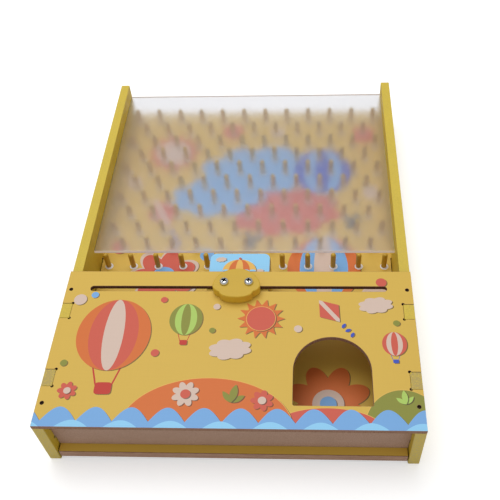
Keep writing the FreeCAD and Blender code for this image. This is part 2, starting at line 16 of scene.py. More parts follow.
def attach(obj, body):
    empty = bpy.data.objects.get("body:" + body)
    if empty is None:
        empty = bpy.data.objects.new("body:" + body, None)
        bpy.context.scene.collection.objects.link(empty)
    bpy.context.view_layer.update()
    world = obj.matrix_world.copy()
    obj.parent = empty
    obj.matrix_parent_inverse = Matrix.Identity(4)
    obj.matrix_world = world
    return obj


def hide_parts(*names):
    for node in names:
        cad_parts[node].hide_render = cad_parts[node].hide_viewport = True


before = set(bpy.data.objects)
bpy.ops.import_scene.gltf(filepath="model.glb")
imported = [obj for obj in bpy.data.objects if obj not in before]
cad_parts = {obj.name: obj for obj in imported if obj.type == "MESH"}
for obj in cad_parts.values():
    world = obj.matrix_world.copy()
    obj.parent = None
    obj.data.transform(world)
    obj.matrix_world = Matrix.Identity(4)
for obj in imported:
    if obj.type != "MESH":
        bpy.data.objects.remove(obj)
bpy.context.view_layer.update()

LOG = logging.getLogger("drop_board")
MM = 0.001
CASE_WIDTH = 300.0
CASE_LENGTH = 420.0
SLOT_Y = 131.0
CORNERS = ((-1, -1), (1, -1), (1, 1), (-1, 1))
HOLLOW = "hollow"
FACING = 0.9  # A normal's least share along the axis that its face looks along.
LEVEL = 0.99999  # The same for a face that lies square to the axis.
FLAT_AREA = 8e-6  # Level faces larger than this, in square metres, are shaded flat.
SAME_POINT = 1e-5
SAME_PLANE = math.radians(0.5)
SHARP = math.radians(30)
NOISE_ROUGHNESS = 0.6

Colour = tuple[float, float, float, float]
Span = tuple[float, float]
Triple = tuple[float, float, float]
Node = bpy.types.Node
Piece = bpy.types.Object
Socket = bpy.types.NodeSocket
Sockets = dict[str, Socket]
Feed = Socket | float | int | tuple | Vector | bpy.types.ID
Inputs = dict[str | int, Feed]


def shade(red: int, green: int, blue: int) -> Colour:
    """Turns a colour as it is seen, 0 to 255, into the linear one that a shader takes.

    Args:
        red: Red, 0 to 255.
        green: Green, 0 to 255.
        blue: Blue, 0 to 255.

    Returns:
        The linear colour with an alpha of 1.
    """
    seen = [c / 255 for c in (red, green, blue)]
    linear = [c / 12.92 if c <= 0.04045 else ((c + 0.055) / 1.055) ** 2.4 for c in seen]
    return (*linear, 1.0)


def in_frame(x: float, y: float, z: float) -> Vector:
    """Turns millimetres from the case's corner into metres in the frame."""
    return Vector((x - CASE_WIDTH / 2, y - CASE_LENGTH / 2, z)) * MM


def on_case(point: Vector) -> Vector:
    """Turns metres in the frame into millimetres from the case's corner."""
    return point / MM + Vector((CASE_WIDTH / 2, CASE_LENGTH / 2, 0.0))


class Ink(Enum):
    """Colours of the print and the paint."""

    YELLOW = shade(220, 182, 74)
    ORANGE = shade(219, 112, 42)
    CORAL = shade(211, 90, 69)
    RED = shade(198, 50, 34)
    CREAM = shade(219, 194, 178)
    SKY = shade(121, 175, 230)
    OLIVE = shade(140, 142, 50)
    LEAF = shade(176, 208, 98)
    INDIGO = shade(52, 80, 190)
    WHITE = shade(238, 236, 238)
    PALE_SKY = shade(148, 212, 250)
    AMBER = shade(238, 188, 90)
    DUSK = shade(74, 78, 84)
    SHADOW = shade(72, 50, 28)


# Node wiring -----------------------------------------------------------------------------


class Wiring:
    """Puts nodes into one tree and joins them."""

    def __init__(self, tree: bpy.types.NodeTree) -> None:
        """Keeps the tree that the nodes go into."""
        self.tree = tree

    @classmethod
    def of(cls, owner: bpy.types.Material | bpy.types.World) -> "Wiring":
        """Clears the nodes of a material or a world.

        Args:
            owner: The material or the world.

        Returns:
            The wiring of its empty tree.
        """
        owner.use_nodes = True
        owner.node_tree.nodes.clear()
        return cls(owner.node_tree)

    def add(self, kind: str, inputs: Inputs | None = None, **settings: object) -> Node:
        """Adds one node.

        Args:
            kind: The node's type, as Blender names it.
            inputs: What each input gets, by its name or its place.
            settings: The node's own properties.

        Returns:
            The new node.
        """
        node = self.tree.nodes.new(kind)
        for name, value in settings.items():
            setattr(node, name, value)
        for key, value in (inputs or {}).items():
            if isinstance(value, bpy.types.NodeSocket):
                self.tree.links.new(value, node.inputs[key])
            else:
                node.inputs[key].default_value = value
        return node

    def sum(self, operation: str, *values: Feed) -> Socket:
        """Adds a Math node and returns its result."""
        return self.add("ShaderNodeMath", dict(enumerate(values)), operation=operation).outputs[0]

    def vector(self, operation: str, *values: Feed) -> Socket:
        """Adds a Vector Math node and returns its vector, or its length for a length."""
        node = self.add("ShaderNodeVectorMath", dict(enumerate(values)), operation=operation)
        return node.outputs["Value" if operation == "LENGTH" else "Vector"]

    def scale(self, vector: Feed, amount: Feed) -> Socket:
        """Multiplies a vector or a colour by one number."""
        node = self.add("ShaderNodeVectorMath", {0: vector, "Scale": amount}, operation="SCALE")
        return node.outputs["Vector"]

    def axes(self, vector: Feed) -> Sockets:
        """Returns the X, Y and Z of a vector by name."""
        node = self.add("ShaderNodeSeparateXYZ", {0: vector})
        return {name: node.outputs[name] for name in "XYZ"}

    def blend(self, share: Feed, under: Feed, over: Feed) -> Socket:
        """Mixes two colours and returns the mix."""
        return self.add("ShaderNodeMix", {0: share, 6: under, 7: over}, data_type="RGBA").outputs[2]

    def noise(self, place: Feed, size: Feed, detail: float = 2.0) -> Socket:
        """Adds a noise with so many lumps to the unit and returns its strength, around 0.5."""
        inputs = {"Vector": place, "Scale": size, "Detail": detail, "Roughness": NOISE_ROUGHNESS}
        return self.add("ShaderNodeTexNoise", inputs).outputs[0]

    def streaks(self, place: Feed, sizes: Feed, detail: float) -> Socket:
        """Adds a noise with a size of its own along each axis and returns its strength."""
        return self.noise(self.vector("MULTIPLY", place, sizes), 1.0, detail)

    def spread(self, value: Feed, span: Span, to: Span) -> Socket:
        """Maps a value smoothly from one span to another, and holds it inside that."""
        inputs = dict(enumerate((value, *span, *to)))
        return self.add("ShaderNodeMapRange", inputs, interpolation_type="SMOOTHSTEP").outputs[0]

    def place(self) -> Socket:
        """Returns the place on the piece, in millimetres from the case's corner."""
        seen = self.add("ShaderNodeTexCoord").outputs["Object"]
        return self.vector("MULTIPLY_ADD", seen, (1 / MM,) * 3, (CASE_WIDTH / 2, CASE_LENGTH / 2, 0.0))

    def bump(self, height: Feed, depth: float) -> Socket:
        """Returns the normal of a height that goes so many millimetres deep."""
        inputs = {"Height": height, "Strength": 1.0, "Distance": depth * MM}
        return self.add("ShaderNodeBump", inputs).outputs[0]


class Kind(Enum):
    """Kinds of socket that a node group takes or gives."""

    NUMBER = "NodeSocketFloat"
    COUNT = "NodeSocketInt"
    VECTOR = "NodeSocketVector"
    COLOUR = "NodeSocketColor"
    OBJECT = "NodeSocketObject"
    MATERIAL = "NodeSocketMaterial"
    GEOMETRY = "NodeSocketGeometry"


class Group:
    """A node group that is built once and shared."""

    family = "ShaderNodeTree"
    title = ""
    takes: dict[str, Kind] = {}
    gives: dict[str, Kind] = {}

    def wire(self, wiring: Wiring, taken: Sockets) -> Sockets:
        """Wires the inside of the group.

        Args:
            wiring: The group's own wiring.
            taken: The group's inputs by name.

        Returns:
            What each of the group's outputs gets.
        """
        raise NotImplementedError

    def tree(self) -> bpy.types.NodeTree:
        """Builds the group's tree the first time, and finds it again later.

        Returns:
            The tree.
        """
        made = bpy.data.node_groups.get(self.title)
        if made is None:
            made = bpy.data.node_groups.new(self.title, self.family)
            for way, sockets in (("INPUT", self.takes), ("OUTPUT", self.gives)):
                for name, kind in sockets.items():
                    made.interface.new_socket(name, in_out=way, socket_type=kind.value)
            wiring = Wiring(made)
            source = wiring.add("NodeGroupInput").outputs
            given = self.wire(wiring, {name: source[name] for name in self.takes})
            wiring.add("NodeGroupOutput", given)
        return made

    def use(self, wiring: Wiring, inputs: Inputs) -> Sockets:
        """Places the group in a material and returns its outputs by name."""
        node = wiring.add("ShaderNodeGroup", inputs, node_tree=self.tree())
        return {name: node.outputs[name] for name in self.gives}


SURFACE = {"Color": Kind.COLOUR, "Roughness": Kind.NUMBER, "Height": Kind.NUMBER}


@dataclass(frozen=True)
class PaintFilm(Group):
    """Rolled paint: soft mottle, brush lines, fine stipple and rubbed spots."""

    title = "paint film"
    takes = {
        "Place": Kind.VECTOR,
        "Paint": Kind.COLOUR,
        "Worn": Kind.COLOUR,
        "Wear": Kind.NUMBER,
        "Brush": Kind.VECTOR,
        "Gloss": Kind.NUMBER,
        "Speckle": Kind.NUMBER,
    }
    gives = SURFACE
    mottle_size: float = 0.035
    mottle_strength: float = 0.10
    line_strength: float = 0.09
    line_depth: float = 0.6
    darkest: float = 0.905
    stipple_size: float = 1.3
    stipple_rough: float = 0.18
    spot_size: float = 0.7
    spot_span: Span = (0.70, 0.98)
    spot_most: float = 0.85
    spot_rough: float = 0.25

    def wire(self, wiring: Wiring, taken: Sockets) -> Sockets:
        """Wires the paint.

        Args:
            wiring: The group's own wiring.
            taken: The group's inputs by name.

        Returns:
            What each of the group's outputs gets.
        """
        place = taken["Place"]
        mottle = wiring.noise(place, self.mottle_size, 3.0)
        lines = wiring.streaks(place, taken["Brush"], 4.0)
        stipple = wiring.noise(place, self.stipple_size, 3.0)
        grain = wiring.sum("SUBTRACT", stipple, 0.5)
        light = wiring.sum("MULTIPLY_ADD", mottle, self.mottle_strength, self.darkest)
        light = wiring.sum("MULTIPLY_ADD", lines, self.line_strength, light)
        light = wiring.sum("MULTIPLY_ADD", grain, taken["Speckle"], light)
        colour = wiring.scale(taken["Paint"], light)
        spots = wiring.sum("ADD", wiring.noise(place, self.spot_size, 5.0), taken["Wear"])
        rubbed = wiring.spread(spots, self.spot_span, (0.0, self.spot_most))
        rough = wiring.sum("MULTIPLY_ADD", stipple, self.stipple_rough, taken["Gloss"])
        return {
            "Color": wiring.blend(rubbed, colour, taken["Worn"]),
            "Roughness": wiring.sum("MULTIPLY_ADD", rubbed, self.spot_rough, rough),
            "Height": wiring.sum("MULTIPLY_ADD", lines, self.line_depth, stipple),
        }


@dataclass(frozen=True)
class BoardFibre(Group):
    """Pressed fibre board, or the streaks that a cut leaves on its edge."""

    title = "board fibre"
    takes = {
        "Place": Kind.VECTOR,
        "Light": Kind.COLOUR,
        "Dark": Kind.COLOUR,
        "Streak": Kind.VECTOR,
    }
    gives = SURFACE
    streak_span: Span = (0.30, 0.70)
    clump_size: float = 0.05
    clump_strength: float = 0.35
    clump_middle: float = -0.17
    fleck_size: float = 1.4
    fleck_span: Span = (0.56, 0.72)
    fleck_most: float = 0.7
    rough_span: Span = (0.72, 0.92)

    def wire(self, wiring: Wiring, taken: Sockets) -> Sockets:
        """Wires the board.

        Args:
            wiring: The group's own wiring.
            taken: The group's inputs by name.

        Returns:
            What each of the group's outputs gets.
        """
        place = taken["Place"]
        streaks = wiring.streaks(place, taken["Streak"], 5.0)
        clumps = wiring.noise(place, self.clump_size)
        flecks = wiring.noise(place, self.fleck_size)
        flecks = wiring.spread(flecks, self.fleck_span, (0.0, self.fleck_most))
        share = wiring.sum("MULTIPLY_ADD", clumps, self.clump_strength, self.clump_middle)
        share = wiring.sum("ADD", share, wiring.spread(streaks, self.streak_span, (0.0, 1.0)))
        colour = wiring.blend(share, taken["Light"], taken["Dark"])
        return {
            "Color": wiring.blend(flecks, colour, taken["Dark"]),
            "Roughness": wiring.spread(streaks, (0.2, 0.8), self.rough_span),
            "Height": streaks,
        }


@dataclass(frozen=True)
class PrintGrain(Group):
    """The faint bands, grain and sheen of ink laid on board."""

    title = "print grain"
    takes = {"Place": Kind.VECTOR, "Color": Kind.COLOUR}
    gives = SURFACE
    band_sizes: Triple = (0.015, 0.9, 1.0)
    band_strength: float = 0.05
    weave_sizes: Triple = (1.4, 0.03, 1.0)
    weave_strength: float = 0.04
    fine_size: float = 3.0
    fine_strength: float = 0.08
    darkest: float = 0.915
    fine_rough: float = 0.20
    least_rough: float = 0.46

    def wire(self, wiring: Wiring, taken: Sockets) -> Sockets:
        """Wires the grain.

        Args:
            wiring: The group's own wiring.
            taken: The group's inputs by name.

        Returns:
            What each of the group's outputs gets.
        """
        place = taken["Place"]
        bands = wiring.streaks(place, self.band_sizes, 3.0)
        weave = wiring.streaks(place, self.weave_sizes, 2.0)
        fine = wiring.noise(place, self.fine_size)
        light = wiring.sum("MULTIPLY_ADD", bands, self.band_strength, self.darkest)
        light = wiring.sum("MULTIPLY_ADD", weave, self.weave_strength, light)
        light = wiring.sum("MULTIPLY_ADD", fine, self.fine_strength, light)
        return {
            "Color": wiring.scale(taken["Color"], light),
            "Roughness": wiring.sum("MULTIPLY_ADD", fine, self.fine_rough, self.least_rough),
            "Height": wiring.sum("ADD", fine, bands),
        }


# The print -------------------------------------------------------------------------------

SHADE_SHIFT = (0.85, -0.65)
RIM_WIDTH = 0.45


class Shape(Enum):
    """Shapes that the print is cut from, with the names of their stencils."""

    OVAL = "oval stencil"
    DOME = "dome stencil"
    BLOCK = "block stencil"
    PETALS = "petal stencil"
    LEAF = "leaf stencil"
    BANK = "bank stencil"


@dataclass(frozen=True)
class Stencil(Group):
    """Where one printed shape lies, and where its shade falls beside it.

    A dome is the upper half of an oval, and a bank is all that lies below a row of humps. A block
    is a lozenge at 1 point and has round corners at 6 or more. Petals are round at a positive
    depth and pointed at a negative one.
    """

    sizes = ("Centre X", "Centre Y", "Half Width", "Half Height", "Turn", "Points", "Depth")
    takes = dict.fromkeys(("X", "Y", *sizes), Kind.NUMBER)
    gives = dict.fromkeys(("Mask", "Shade"), Kind.NUMBER)
    shape: Shape

    @property
    def title(self) -> str:
        """Returns the name of the shape's own stencil."""
        return self.shape.value

    def mask(self, wiring: Wiring, x: Socket, y: Socket, taken: Sockets) -> Socket:
        """Wires the shape itself.

        Args:
            wiring: The group's own wiring.
            x: The place across from the shape's centre, where 1 is its half width.
            y: The place up from the shape's centre, where 1 is its half height.
            taken: The group's inputs by name.

        Returns:
            1 inside the shape and 0 outside it.
        """
        sums = wiring.sum
        edge: Feed = 1.0
        if self.shape is Shape.PETALS:
            half = sums("MULTIPLY", sums("ARCTAN2", y, x), sums("DIVIDE", taken["Points"], 2.0))
            wave = sums("ABSOLUTE", sums("SINE", half))
            least = sums("SUBTRACT", 1.0, sums("MAXIMUM", taken["Depth"], 0.0))
            edge = sums("MULTIPLY_ADD", wave, taken["Depth"], least)
        if self.shape is Shape.BANK:
            reach = y
            edge = sums("ABSOLUTE", sums("SINE", sums("MULTIPLY", x, math.pi / 2)))
        elif self.shape is Shape.BLOCK:
            powers = [sums("POWER", sums("ABSOLUTE", axis), taken["Points"]) for axis in (x, y)]
            reach = sums("ADD", *powers)
        elif self.shape is Shape.LEAF:
            reach = sums("MULTIPLY_ADD", x, x, sums("ABSOLUTE", y))
        else:
            reach = sums("SQRT", sums("MULTIPLY_ADD", x, x, sums("MULTIPLY", y, y)))
        inside = sums("LESS_THAN", reach, edge)
        if self.shape is Shape.DOME:
            inside = sums("MULTIPLY", inside, sums("GREATER_THAN", y, 0.0))
        return inside

    def wire(self, wiring: Wiring, taken: Sockets) -> Sockets:
        """Wires the shape, and again with its shift for the shade.

        Args:
            wiring: The group's own wiring.
            taken: The group's inputs by name.

        Returns:
            What each of the group's outputs gets.
        """
        sums = wiring.sum
        cosine, sine = (sums(name, taken["Turn"]) for name in ("COSINE", "SINE"))
        given = {}
        for name, shift in (("Mask", (0.0, 0.0)), ("Shade", SHADE_SHIFT)):
            right, up = (
                sums("SUBTRACT", taken[axis], sums("ADD", taken["Centre " + axis], by))
                for axis, by in zip("XY", shift)
            )
            across = sums("MULTIPLY_ADD", up, sine, sums("MULTIPLY", right, cosine))
            along = sums("SUBTRACT", sums("MULTIPLY", up, cosine), sums("MULTIPLY", right, sine))
            x = sums("DIVIDE", across, taken["Half Width"])
            y = sums("DIVIDE", along, taken["Half Height"])
            given[name] = self.mask(wiring, x, y, taken)
        return given


@dataclass(frozen=True)
class LaidInk(Group):
    """One shape laid over what is under it, with its shade beside it."""

    title = "laid ink"
    takes = {
        "Under": Kind.COLOUR,
        "Ink": Kind.COLOUR,
        "Mask": Kind.NUMBER,
        "Shade": Kind.NUMBER,
    }
    gives = {"Color": Kind.COLOUR}
    shade_strength: float = 0.78

    def wire(self, wiring: Wiring, taken: Sockets) -> Sockets:
        """Wires the two layers.

        Args:
            wiring: The group's own wiring.
            taken: The group's inputs by name.

        Returns:
            What each of the group's outputs gets.
        """
        dark = wiring.sum("MULTIPLY", taken["Shade"], self.shade_strength)
        ground = wiring.blend(dark, taken["Under"], Ink.SHADOW.value)
        return {"Color": wiring.blend(taken["Mask"], ground, taken["Ink"])}


@dataclass(frozen=True)
class PegSpots(Group):
    """White spots round the feet of the pegs, a little out of register."""

    title = "peg spots"
    takes = {"Place": Kind.VECTOR}
    gives = {"Mask": Kind.NUMBER}
    radius: float = 3.9
    slip: Span = (0.5, -0.7)
    margin: float = 10.0

    def wire(self, wiring: Wiring, taken: Sockets) -> Sockets:
        """Wires the two staggered grids of spots.

        Args:
            wiring: The group's own wiring.
            taken: The group's inputs by name.

        Returns:
            What each of the group's outputs gets.
        """
        rows = PegField()
        wide, high = rows.pitch, 2 * rows.row_step
        masks = []
        for x, y in ((rows.long_x, rows.first_y), (rows.short_x, rows.first_y + rows.row_step)):
            corner = (x + self.slip[0] - wide / 2, y + self.slip[1] - high / 2, 0.0)
            place = wiring.vector("SUBTRACT", taken["Place"], corner)
            place = wiring.vector("MULTIPLY", place, (1.0, 1.0, 0.0))
            cells = wiring.vector("MODULO", place, (wide, high, 1.0))
            reach = wiring.vector("SUBTRACT", cells, (wide / 2, high / 2, 0.0))
            masks.append(wiring.sum("LESS_THAN", wiring.vector("LENGTH", reach), self.radius))
        height = wiring.axes(taken["Place"])["Y"]
        field = wiring.sum("GREATER_THAN", height, rows.first_y - self.margin)
        return {"Mask": wiring.sum("MULTIPLY", wiring.sum("MAXIMUM", *masks), field)}


@dataclass(frozen=True)
class Cut:
    """One flat shape of the print, with its middle, its half sizes and its turn in degrees."""

    shape: Shape
    ink: Ink
    x: float
    y: float
    wide: float
    high: float
    turn: float = 0.0
    points: float = 2.0
    depth: float = 0.0
    lifted: bool = True
    inside: bool = False
    rim: Ink | None = None

    def cuts(self) -> list["Cut"]:
        """Lays a thin rim of another ink under the shape, if it has one.

        Returns:
            The shape, or its rim and then the shape.
        """
        if self.rim is None:
            return [self]
        wide, high = self.wide + RIM_WIDTH, self.high + RIM_WIDTH
        return [replace(self, ink=self.rim, wide=wide, high=high), replace(self, lifted=False)]


@dataclass(frozen=True)
class Motif:
    """A small picture made of cuts, with its middle, its size and its main ink."""

    x: float
    y: float
    size: float
    ink: Ink

    def cut(
        self, shape: Shape, ink: Ink, wide: float, high: float, at: Span = (0.0, 0.0), **more: object
    ) -> Cut:
        """Cuts one shape whose half sizes and place are shares of the motif's size."""
        x, y = (middle + share * self.size for middle, share in zip((self.x, self.y), at))
        return Cut(shape, ink, x, y, wide * self.size, high * self.size, **more)

    def cuts(self) -> list[Cut]:
        """Returns its shapes, lowest first."""
        raise NotImplementedError


@dataclass(frozen=True)
class Balloon(Motif):
    """An air balloon. Its size is half its width, and its main ink is that of its sides."""

    middle: Ink
    centre: Ink
    basket: Ink

    def cuts(self) -> list[Cut]:
        """Cuts its ropes, its basket and its panels.

        Returns:
            Its shapes, lowest first.
        """
        rope = {"points": 6, "lifted": False}
        inner = {"lifted": False, "inside": True}
        return [
            self.cut(Shape.BLOCK, self.basket, 0.022, 0.2912, (-0.29, -1.2768), turn=17.0, **rope),
            self.cut(Shape.BLOCK, self.basket, 0.022, 0.2912, (0.29, -1.2768), turn=-17.0, **rope),
            self.cut(Shape.BLOCK, self.basket, 0.22, 0.17, (0.0, -1.6352), points=5),
            self.cut(Shape.OVAL, self.ink, 1.0, 1.12),
            self.cut(Shape.OVAL, self.middle, 0.66, 1.12, **inner),
            self.cut(Shape.OVAL, self.centre, 0.27, 1.12, **inner),
        ]


@dataclass(frozen=True)
class Bloom(Motif):
    """A flower with round petals. Its size is its radius."""

    heart: Ink
    count: int

    def cuts(self) -> list[Cut]:
        """Returns its petals and its heart."""
        petals = self.cut(Shape.PETALS, self.ink, 1.0, 1.0, points=self.count, depth=0.34)
        return [petals, self.cut(Shape.OVAL, self.heart, 0.36, 0.36)]


@dataclass(frozen=True)
class Sun(Motif):
    """A sun with pointed rays. Its size is its radius with the rays."""

    face: Ink

    def cuts(self) -> list[Cut]:
        """Returns its rays and its rimmed face."""
        rays = self.cut(Shape.PETALS, self.ink, 1.0, 1.0, points=14, depth=-0.30)
        return [rays, *self.cut(Shape.OVAL, self.face, 0.60, 0.60, rim=Ink.AMBER).cuts()]


class Cloud(Motif):
    """A cloud with a scalloped rim. Its size is half its width."""

    def cuts(self) -> list[Cut]:
        """Returns its one shape."""
        return [self.cut(Shape.PETALS, self.ink, 1.0, 0.56, turn=6.0, points=8, depth=0.17)]


@dataclass(frozen=True)
class Kite(Motif):
    """A leaning kite with a stripe and three bows on its tail. Its size is half its height."""

    stripe: Ink
    bows: Ink
    turn: float

    def cuts(self) -> list[Cut]:
        """Cuts its bows, its cloth and its stripe.

        Returns:
            Its shapes, lowest first.
        """
        lean = math.radians(self.turn)
        made = []
        for reach, sway in ((1.35, 20.0), (1.75, -15.0), (2.15, 25.0)):
            at = (reach * math.sin(lean), -reach * math.cos(lean))
            made.append(self.cut(Shape.LEAF, self.bows, 0.20, 0.10, at, turn=self.turn + sway))
        stripe = {"turn": self.turn, "points": 8, "lifted": False, "inside": True}
        made.append(self.cut(Shape.BLOCK, self.ink, 0.72, 1.0, turn=self.turn, points=1))
        made.append(self.cut(Shape.BLOCK, self.stripe, 0.13, 1.0, **stripe))
        return made


@dataclass(frozen=True)
class Sprig(Motif):
    """A sprig of three leaves, sized by half its middle leaf and turned as that leaf points."""

    turn: float

    def cuts(self) -> list[Cut]:
        """Cuts its side leaves and its middle leaf.

        Returns:
            Its shapes, lowest first.
        """
        made = []
        for share, swing in ((0.75, 48.0), (0.75, -48.0), (1.0, 0.0)):
            way = math.radians(self.turn + swing)
            at = (share * math.cos(way), share * math.sin(way))
            made.append(self.cut(Shape.LEAF, self.ink, share, share * 0.38, at, turn=self.turn + swing))
        return made


def dots(*spots: tuple[float, float, float, Ink]) -> list[Cut]:
    """Cuts plain discs, each given as its centre, radius and ink."""
    return [Cut(Shape.OVAL, ink, x, y, size, size) for x, y, size, ink in spots]


# Finishes --------------------------------------------------------------------------------


@dataclass(frozen=True)
class Finish:
    """A finish that becomes one material."""

    name: str

    def inputs(self, wiring: Wiring) -> Inputs:
        """Wires what feeds the material's Principled shader.

        Args:
            wiring: The material's wiring.

        Returns:
            What each of the shader's inputs gets.
        """
        raise NotImplementedError

    def shown(self, wiring: Wiring, shader: Socket) -> Socket:
        """Returns what the material shows, which is the shader unless a finish adds to it."""
        return shader

    def material(self) -> bpy.types.Material:
        """Makes the material the first time, and finds it again later.

        Returns:
            The material.
        """
        made = bpy.data.materials.get(self.name)
        if made is None:
            made = bpy.data.materials.new(self.name)
            wiring = Wiring.of(made)
            shader = wiring.add("ShaderNodeBsdfPrincipled", self.inputs(wiring))
            surface = self.shown(wiring, shader.outputs[0])
            wiring.add("ShaderNodeOutputMaterial", {"Surface": surface})
        return made


def coat(wiring: Wiring, surface: Sockets, depth: float) -> Inputs:
    """Turns a surface group's outputs into a shader's inputs.

    Args:
        wiring: The material's wiring.
        surface: The group's outputs by name.
        depth: How deep its height goes, in millimetres.

    Returns:
        The shader's colour, roughness and normal.
    """
    return {
        "Base Color": surface["Color"],
        "Roughness": surface["Roughness"],
        "Normal": wiring.bump(surface["Height"], depth),
    }


@dataclass(frozen=True)
class PaintedWood(Finish):
    """Paint over board, with more pale, rough patches towards the foot end."""

    paint: Colour = shade(216, 188, 52)
    worn: Colour = shade(172, 146, 80)
    wear: float = 0.0
    # Extra pale, rough patches towards the foot end, on the wall ends and lower tabs.
    foot_patches: float = 0.0
    foot_span: Span = (25.0, 105.0)
    brush: Triple = (1.2, 0.05, 1.2)
    gloss: float = 0.42
    speckle: float = 0.08
    texture: float = 0.02

    def inputs(self, wiring: Wiring) -> Inputs:
        """Wires the paint.

        Args:
            wiring: The material's wiring.

        Returns:
            What each of the shader's inputs gets.
        """
        place = wiring.place()
        most = self.wear + self.foot_patches
        film = {
            "Place": place,
            "Paint": self.paint,
            "Worn": self.worn,
            "Wear": wiring.spread(wiring.axes(place)["Y"], self.foot_span, (most, self.wear)),
            "Brush": self.brush,
            "Gloss": self.gloss,
            "Speckle": self.speckle,
        }
        return coat(wiring, PaintFilm().use(wiring, film), self.texture)


@dataclass(frozen=True)
class BareBoard(Finish):
    """Fibre board without paint, or its cut edge."""

    light: Colour = shade(190, 157, 136)
    dark: Colour = shade(162, 129, 108)
    streak: Triple = (1.6, 1.6, 1.6)
    texture: float = 0.03

    def inputs(self, wiring: Wiring) -> Inputs:
        """Wires the board and returns what the shader's inputs get."""
        fibre = {"Place": wiring.place(), "Light": self.light, "Dark": self.dark, "Streak": self.streak}
        return coat(wiring, BoardFibre().use(wiring, fibre), self.texture)


@dataclass(frozen=True)
class PrintedBoard(Finish):
    """Board with the print on it."""

    motifs: tuple[Cut | Motif, ...] = ()
    ground: Ink = Ink.YELLOW
    spotted: bool = False
    texture: float = 0.01

    def inputs(self, wiring: Wiring) -> Inputs:
        """Lays the print's shapes one over another.

        Args:
            wiring: The material's wiring.

        Returns:
            What each of the shader's inputs gets.
        """
        place = wiring.place()
        axes = wiring.axes(place)
        colour: Feed = self.ground.value
        holder: Feed = 1.0
        for cut in (cut for motif in self.motifs for cut in motif.cuts()):
            stencil = {
                "X": axes["X"],
                "Y": axes["Y"],
                "Centre X": cut.x,
                "Centre Y": cut.y,
                "Half Width": cut.wide,
                "Half Height": cut.high,
                "Turn": math.radians(cut.turn),
                "Points": cut.points,
                "Depth": cut.depth,
            }
            masks: Inputs = dict(Stencil(cut.shape).use(wiring, stencil))
            if not cut.lifted:
                masks["Shade"] = 0.0
            if cut.inside:
                masks["Mask"] = wiring.sum("MULTIPLY", masks["Mask"], holder)
            else:
                holder = masks["Mask"]
            laid = {"Under": colour, "Ink": cut.ink.value, **masks}
            colour = LaidInk().use(wiring, laid)["Color"]
        if self.spotted:
            spots = PegSpots().use(wiring, {"Place": place})["Mask"]
            colour = wiring.blend(spots, colour, Ink.WHITE.value)
        grain = PrintGrain().use(wiring, {"Place": place, "Color": colour})
        return coat(wiring, grain, self.texture)


@dataclass(frozen=True)
class FrostedSheet(Finish):
    """Clear sheet with a frosted face."""

    tint: Colour = (0.69, 0.70, 0.74, 1.0)
    clearness: float = 0.90
    bending: float = 1.49
    frost: float = 0.38
    frost_size: float = 2.2
    frost_swing: float = 0.10
    texture: float = 0.004
    let_through: Colour = (0.99, 0.99, 0.99, 1.0)
    # Emission on an opaque cut edge: painted light that makes the edge look lit.
    glow: float = 0.18

    def inputs(self, wiring: Wiring) -> Inputs:
        """Wires the frost, or, on a cut edge, a faint emission that paints the light the edge catches.

        Args:
            wiring: The material's wiring.

        Returns:
            What each of the shader's inputs gets.
        """
        grain = wiring.noise(wiring.place(), self.frost_size)
        least = self.frost - self.frost_swing / 2
        made = {
            "Base Color": self.tint,
            "Transmission Weight": self.clearness,
            "IOR": self.bending,
            "Roughness": wiring.sum("MULTIPLY_ADD", grain, self.frost_swing, least),
            "Normal": wiring.bump(grain, self.texture),
        }
        # An opaque edge glows faintly as painted light.
        if not self.clearness:
            made |= {"Emission Color": self.tint, "Emission Strength": self.glow}
        return made

    def shown(self, wiring: Wiring, shader: Socket) -> Socket:
        """Lets the lamps reach what is under the sheet.

        Args:
            wiring: The material's wiring.
            shader: What the Principled shader gives.

        Returns:
            What the material shows.
        """
        if not self.clearness:
            return shader
        path = wiring.add("ShaderNodeLightPath").outputs
        light = wiring.sum("MAXIMUM", path["Is Shadow Ray"], path["Is Diffuse Ray"])
        clear = wiring.add("ShaderNodeBsdfTransparent", {"Color": self.let_through}).outputs[0]
        return wiring.add("ShaderNodeMixShader", {0: light, 1: shader, 2: clear}).outputs[0]


@dataclass(frozen=True)
class BrightMetal(Finish):
    """Plated steel with fine scuffs, and painted shade, near black, where the mesh is marked as hollow.
    """

    metal: Colour = (0.70, 0.71, 0.71, 1.0)
    dull: Colour = (0.26, 0.26, 0.26, 1.0)
    # Near-black colour that paints the shade inside a screw's cross recess.
    recess_shade: Colour = (0.012, 0.010, 0.008, 1.0)
    polish: float = 0.10
    scuff_sizes: Triple = (1.2, 5.0, 1.2)
    scuff_rough: float = 0.16
    stain_size: float = 0.7
    stain_span: Span = (0.45, 0.75)
    stain_most: float = 0.6
    recess_shade_most: float = 0.97
    texture: float = 0.006

    def inputs(self, wiring: Wiring) -> Inputs:
        """Wires the metal.

        Args:
            wiring: The material's wiring.

        Returns:
            What each of the shader's inputs gets.
        """
        place = wiring.place()
        scuffs = wiring.streaks(place, self.scuff_sizes, 5.0)
        stains = wiring.noise(place, self.stain_size, 3.0)
        stains = wiring.spread(stains, self.stain_span, (0.0, self.stain_most))
        plating = wiring.blend(stains, self.metal, self.dull)
        # Faces marked hollow, inside the screws' cross recesses, get painted shade.
        hollow = wiring.add("ShaderNodeAttribute", attribute_name=HOLLOW).outputs["Fac"]
        shaded_recess = wiring.sum("MULTIPLY", hollow, self.recess_shade_most)
        return {
            "Metallic": 1.0,
            "Base Color": wiring.blend(shaded_recess, plating, self.recess_shade),
            "Roughness": wiring.sum("MULTIPLY_ADD", scuffs, self.scuff_rough, self.polish),
            "Normal": wiring.bump(scuffs, self.texture),
        }


CUT_ALONG_X = (0.12, 2.6, 2.6)
CUT_ALONG_Y = (2.6, 0.12, 2.6)
CUT_ALONG_Z = (2.6, 2.6, 0.12)
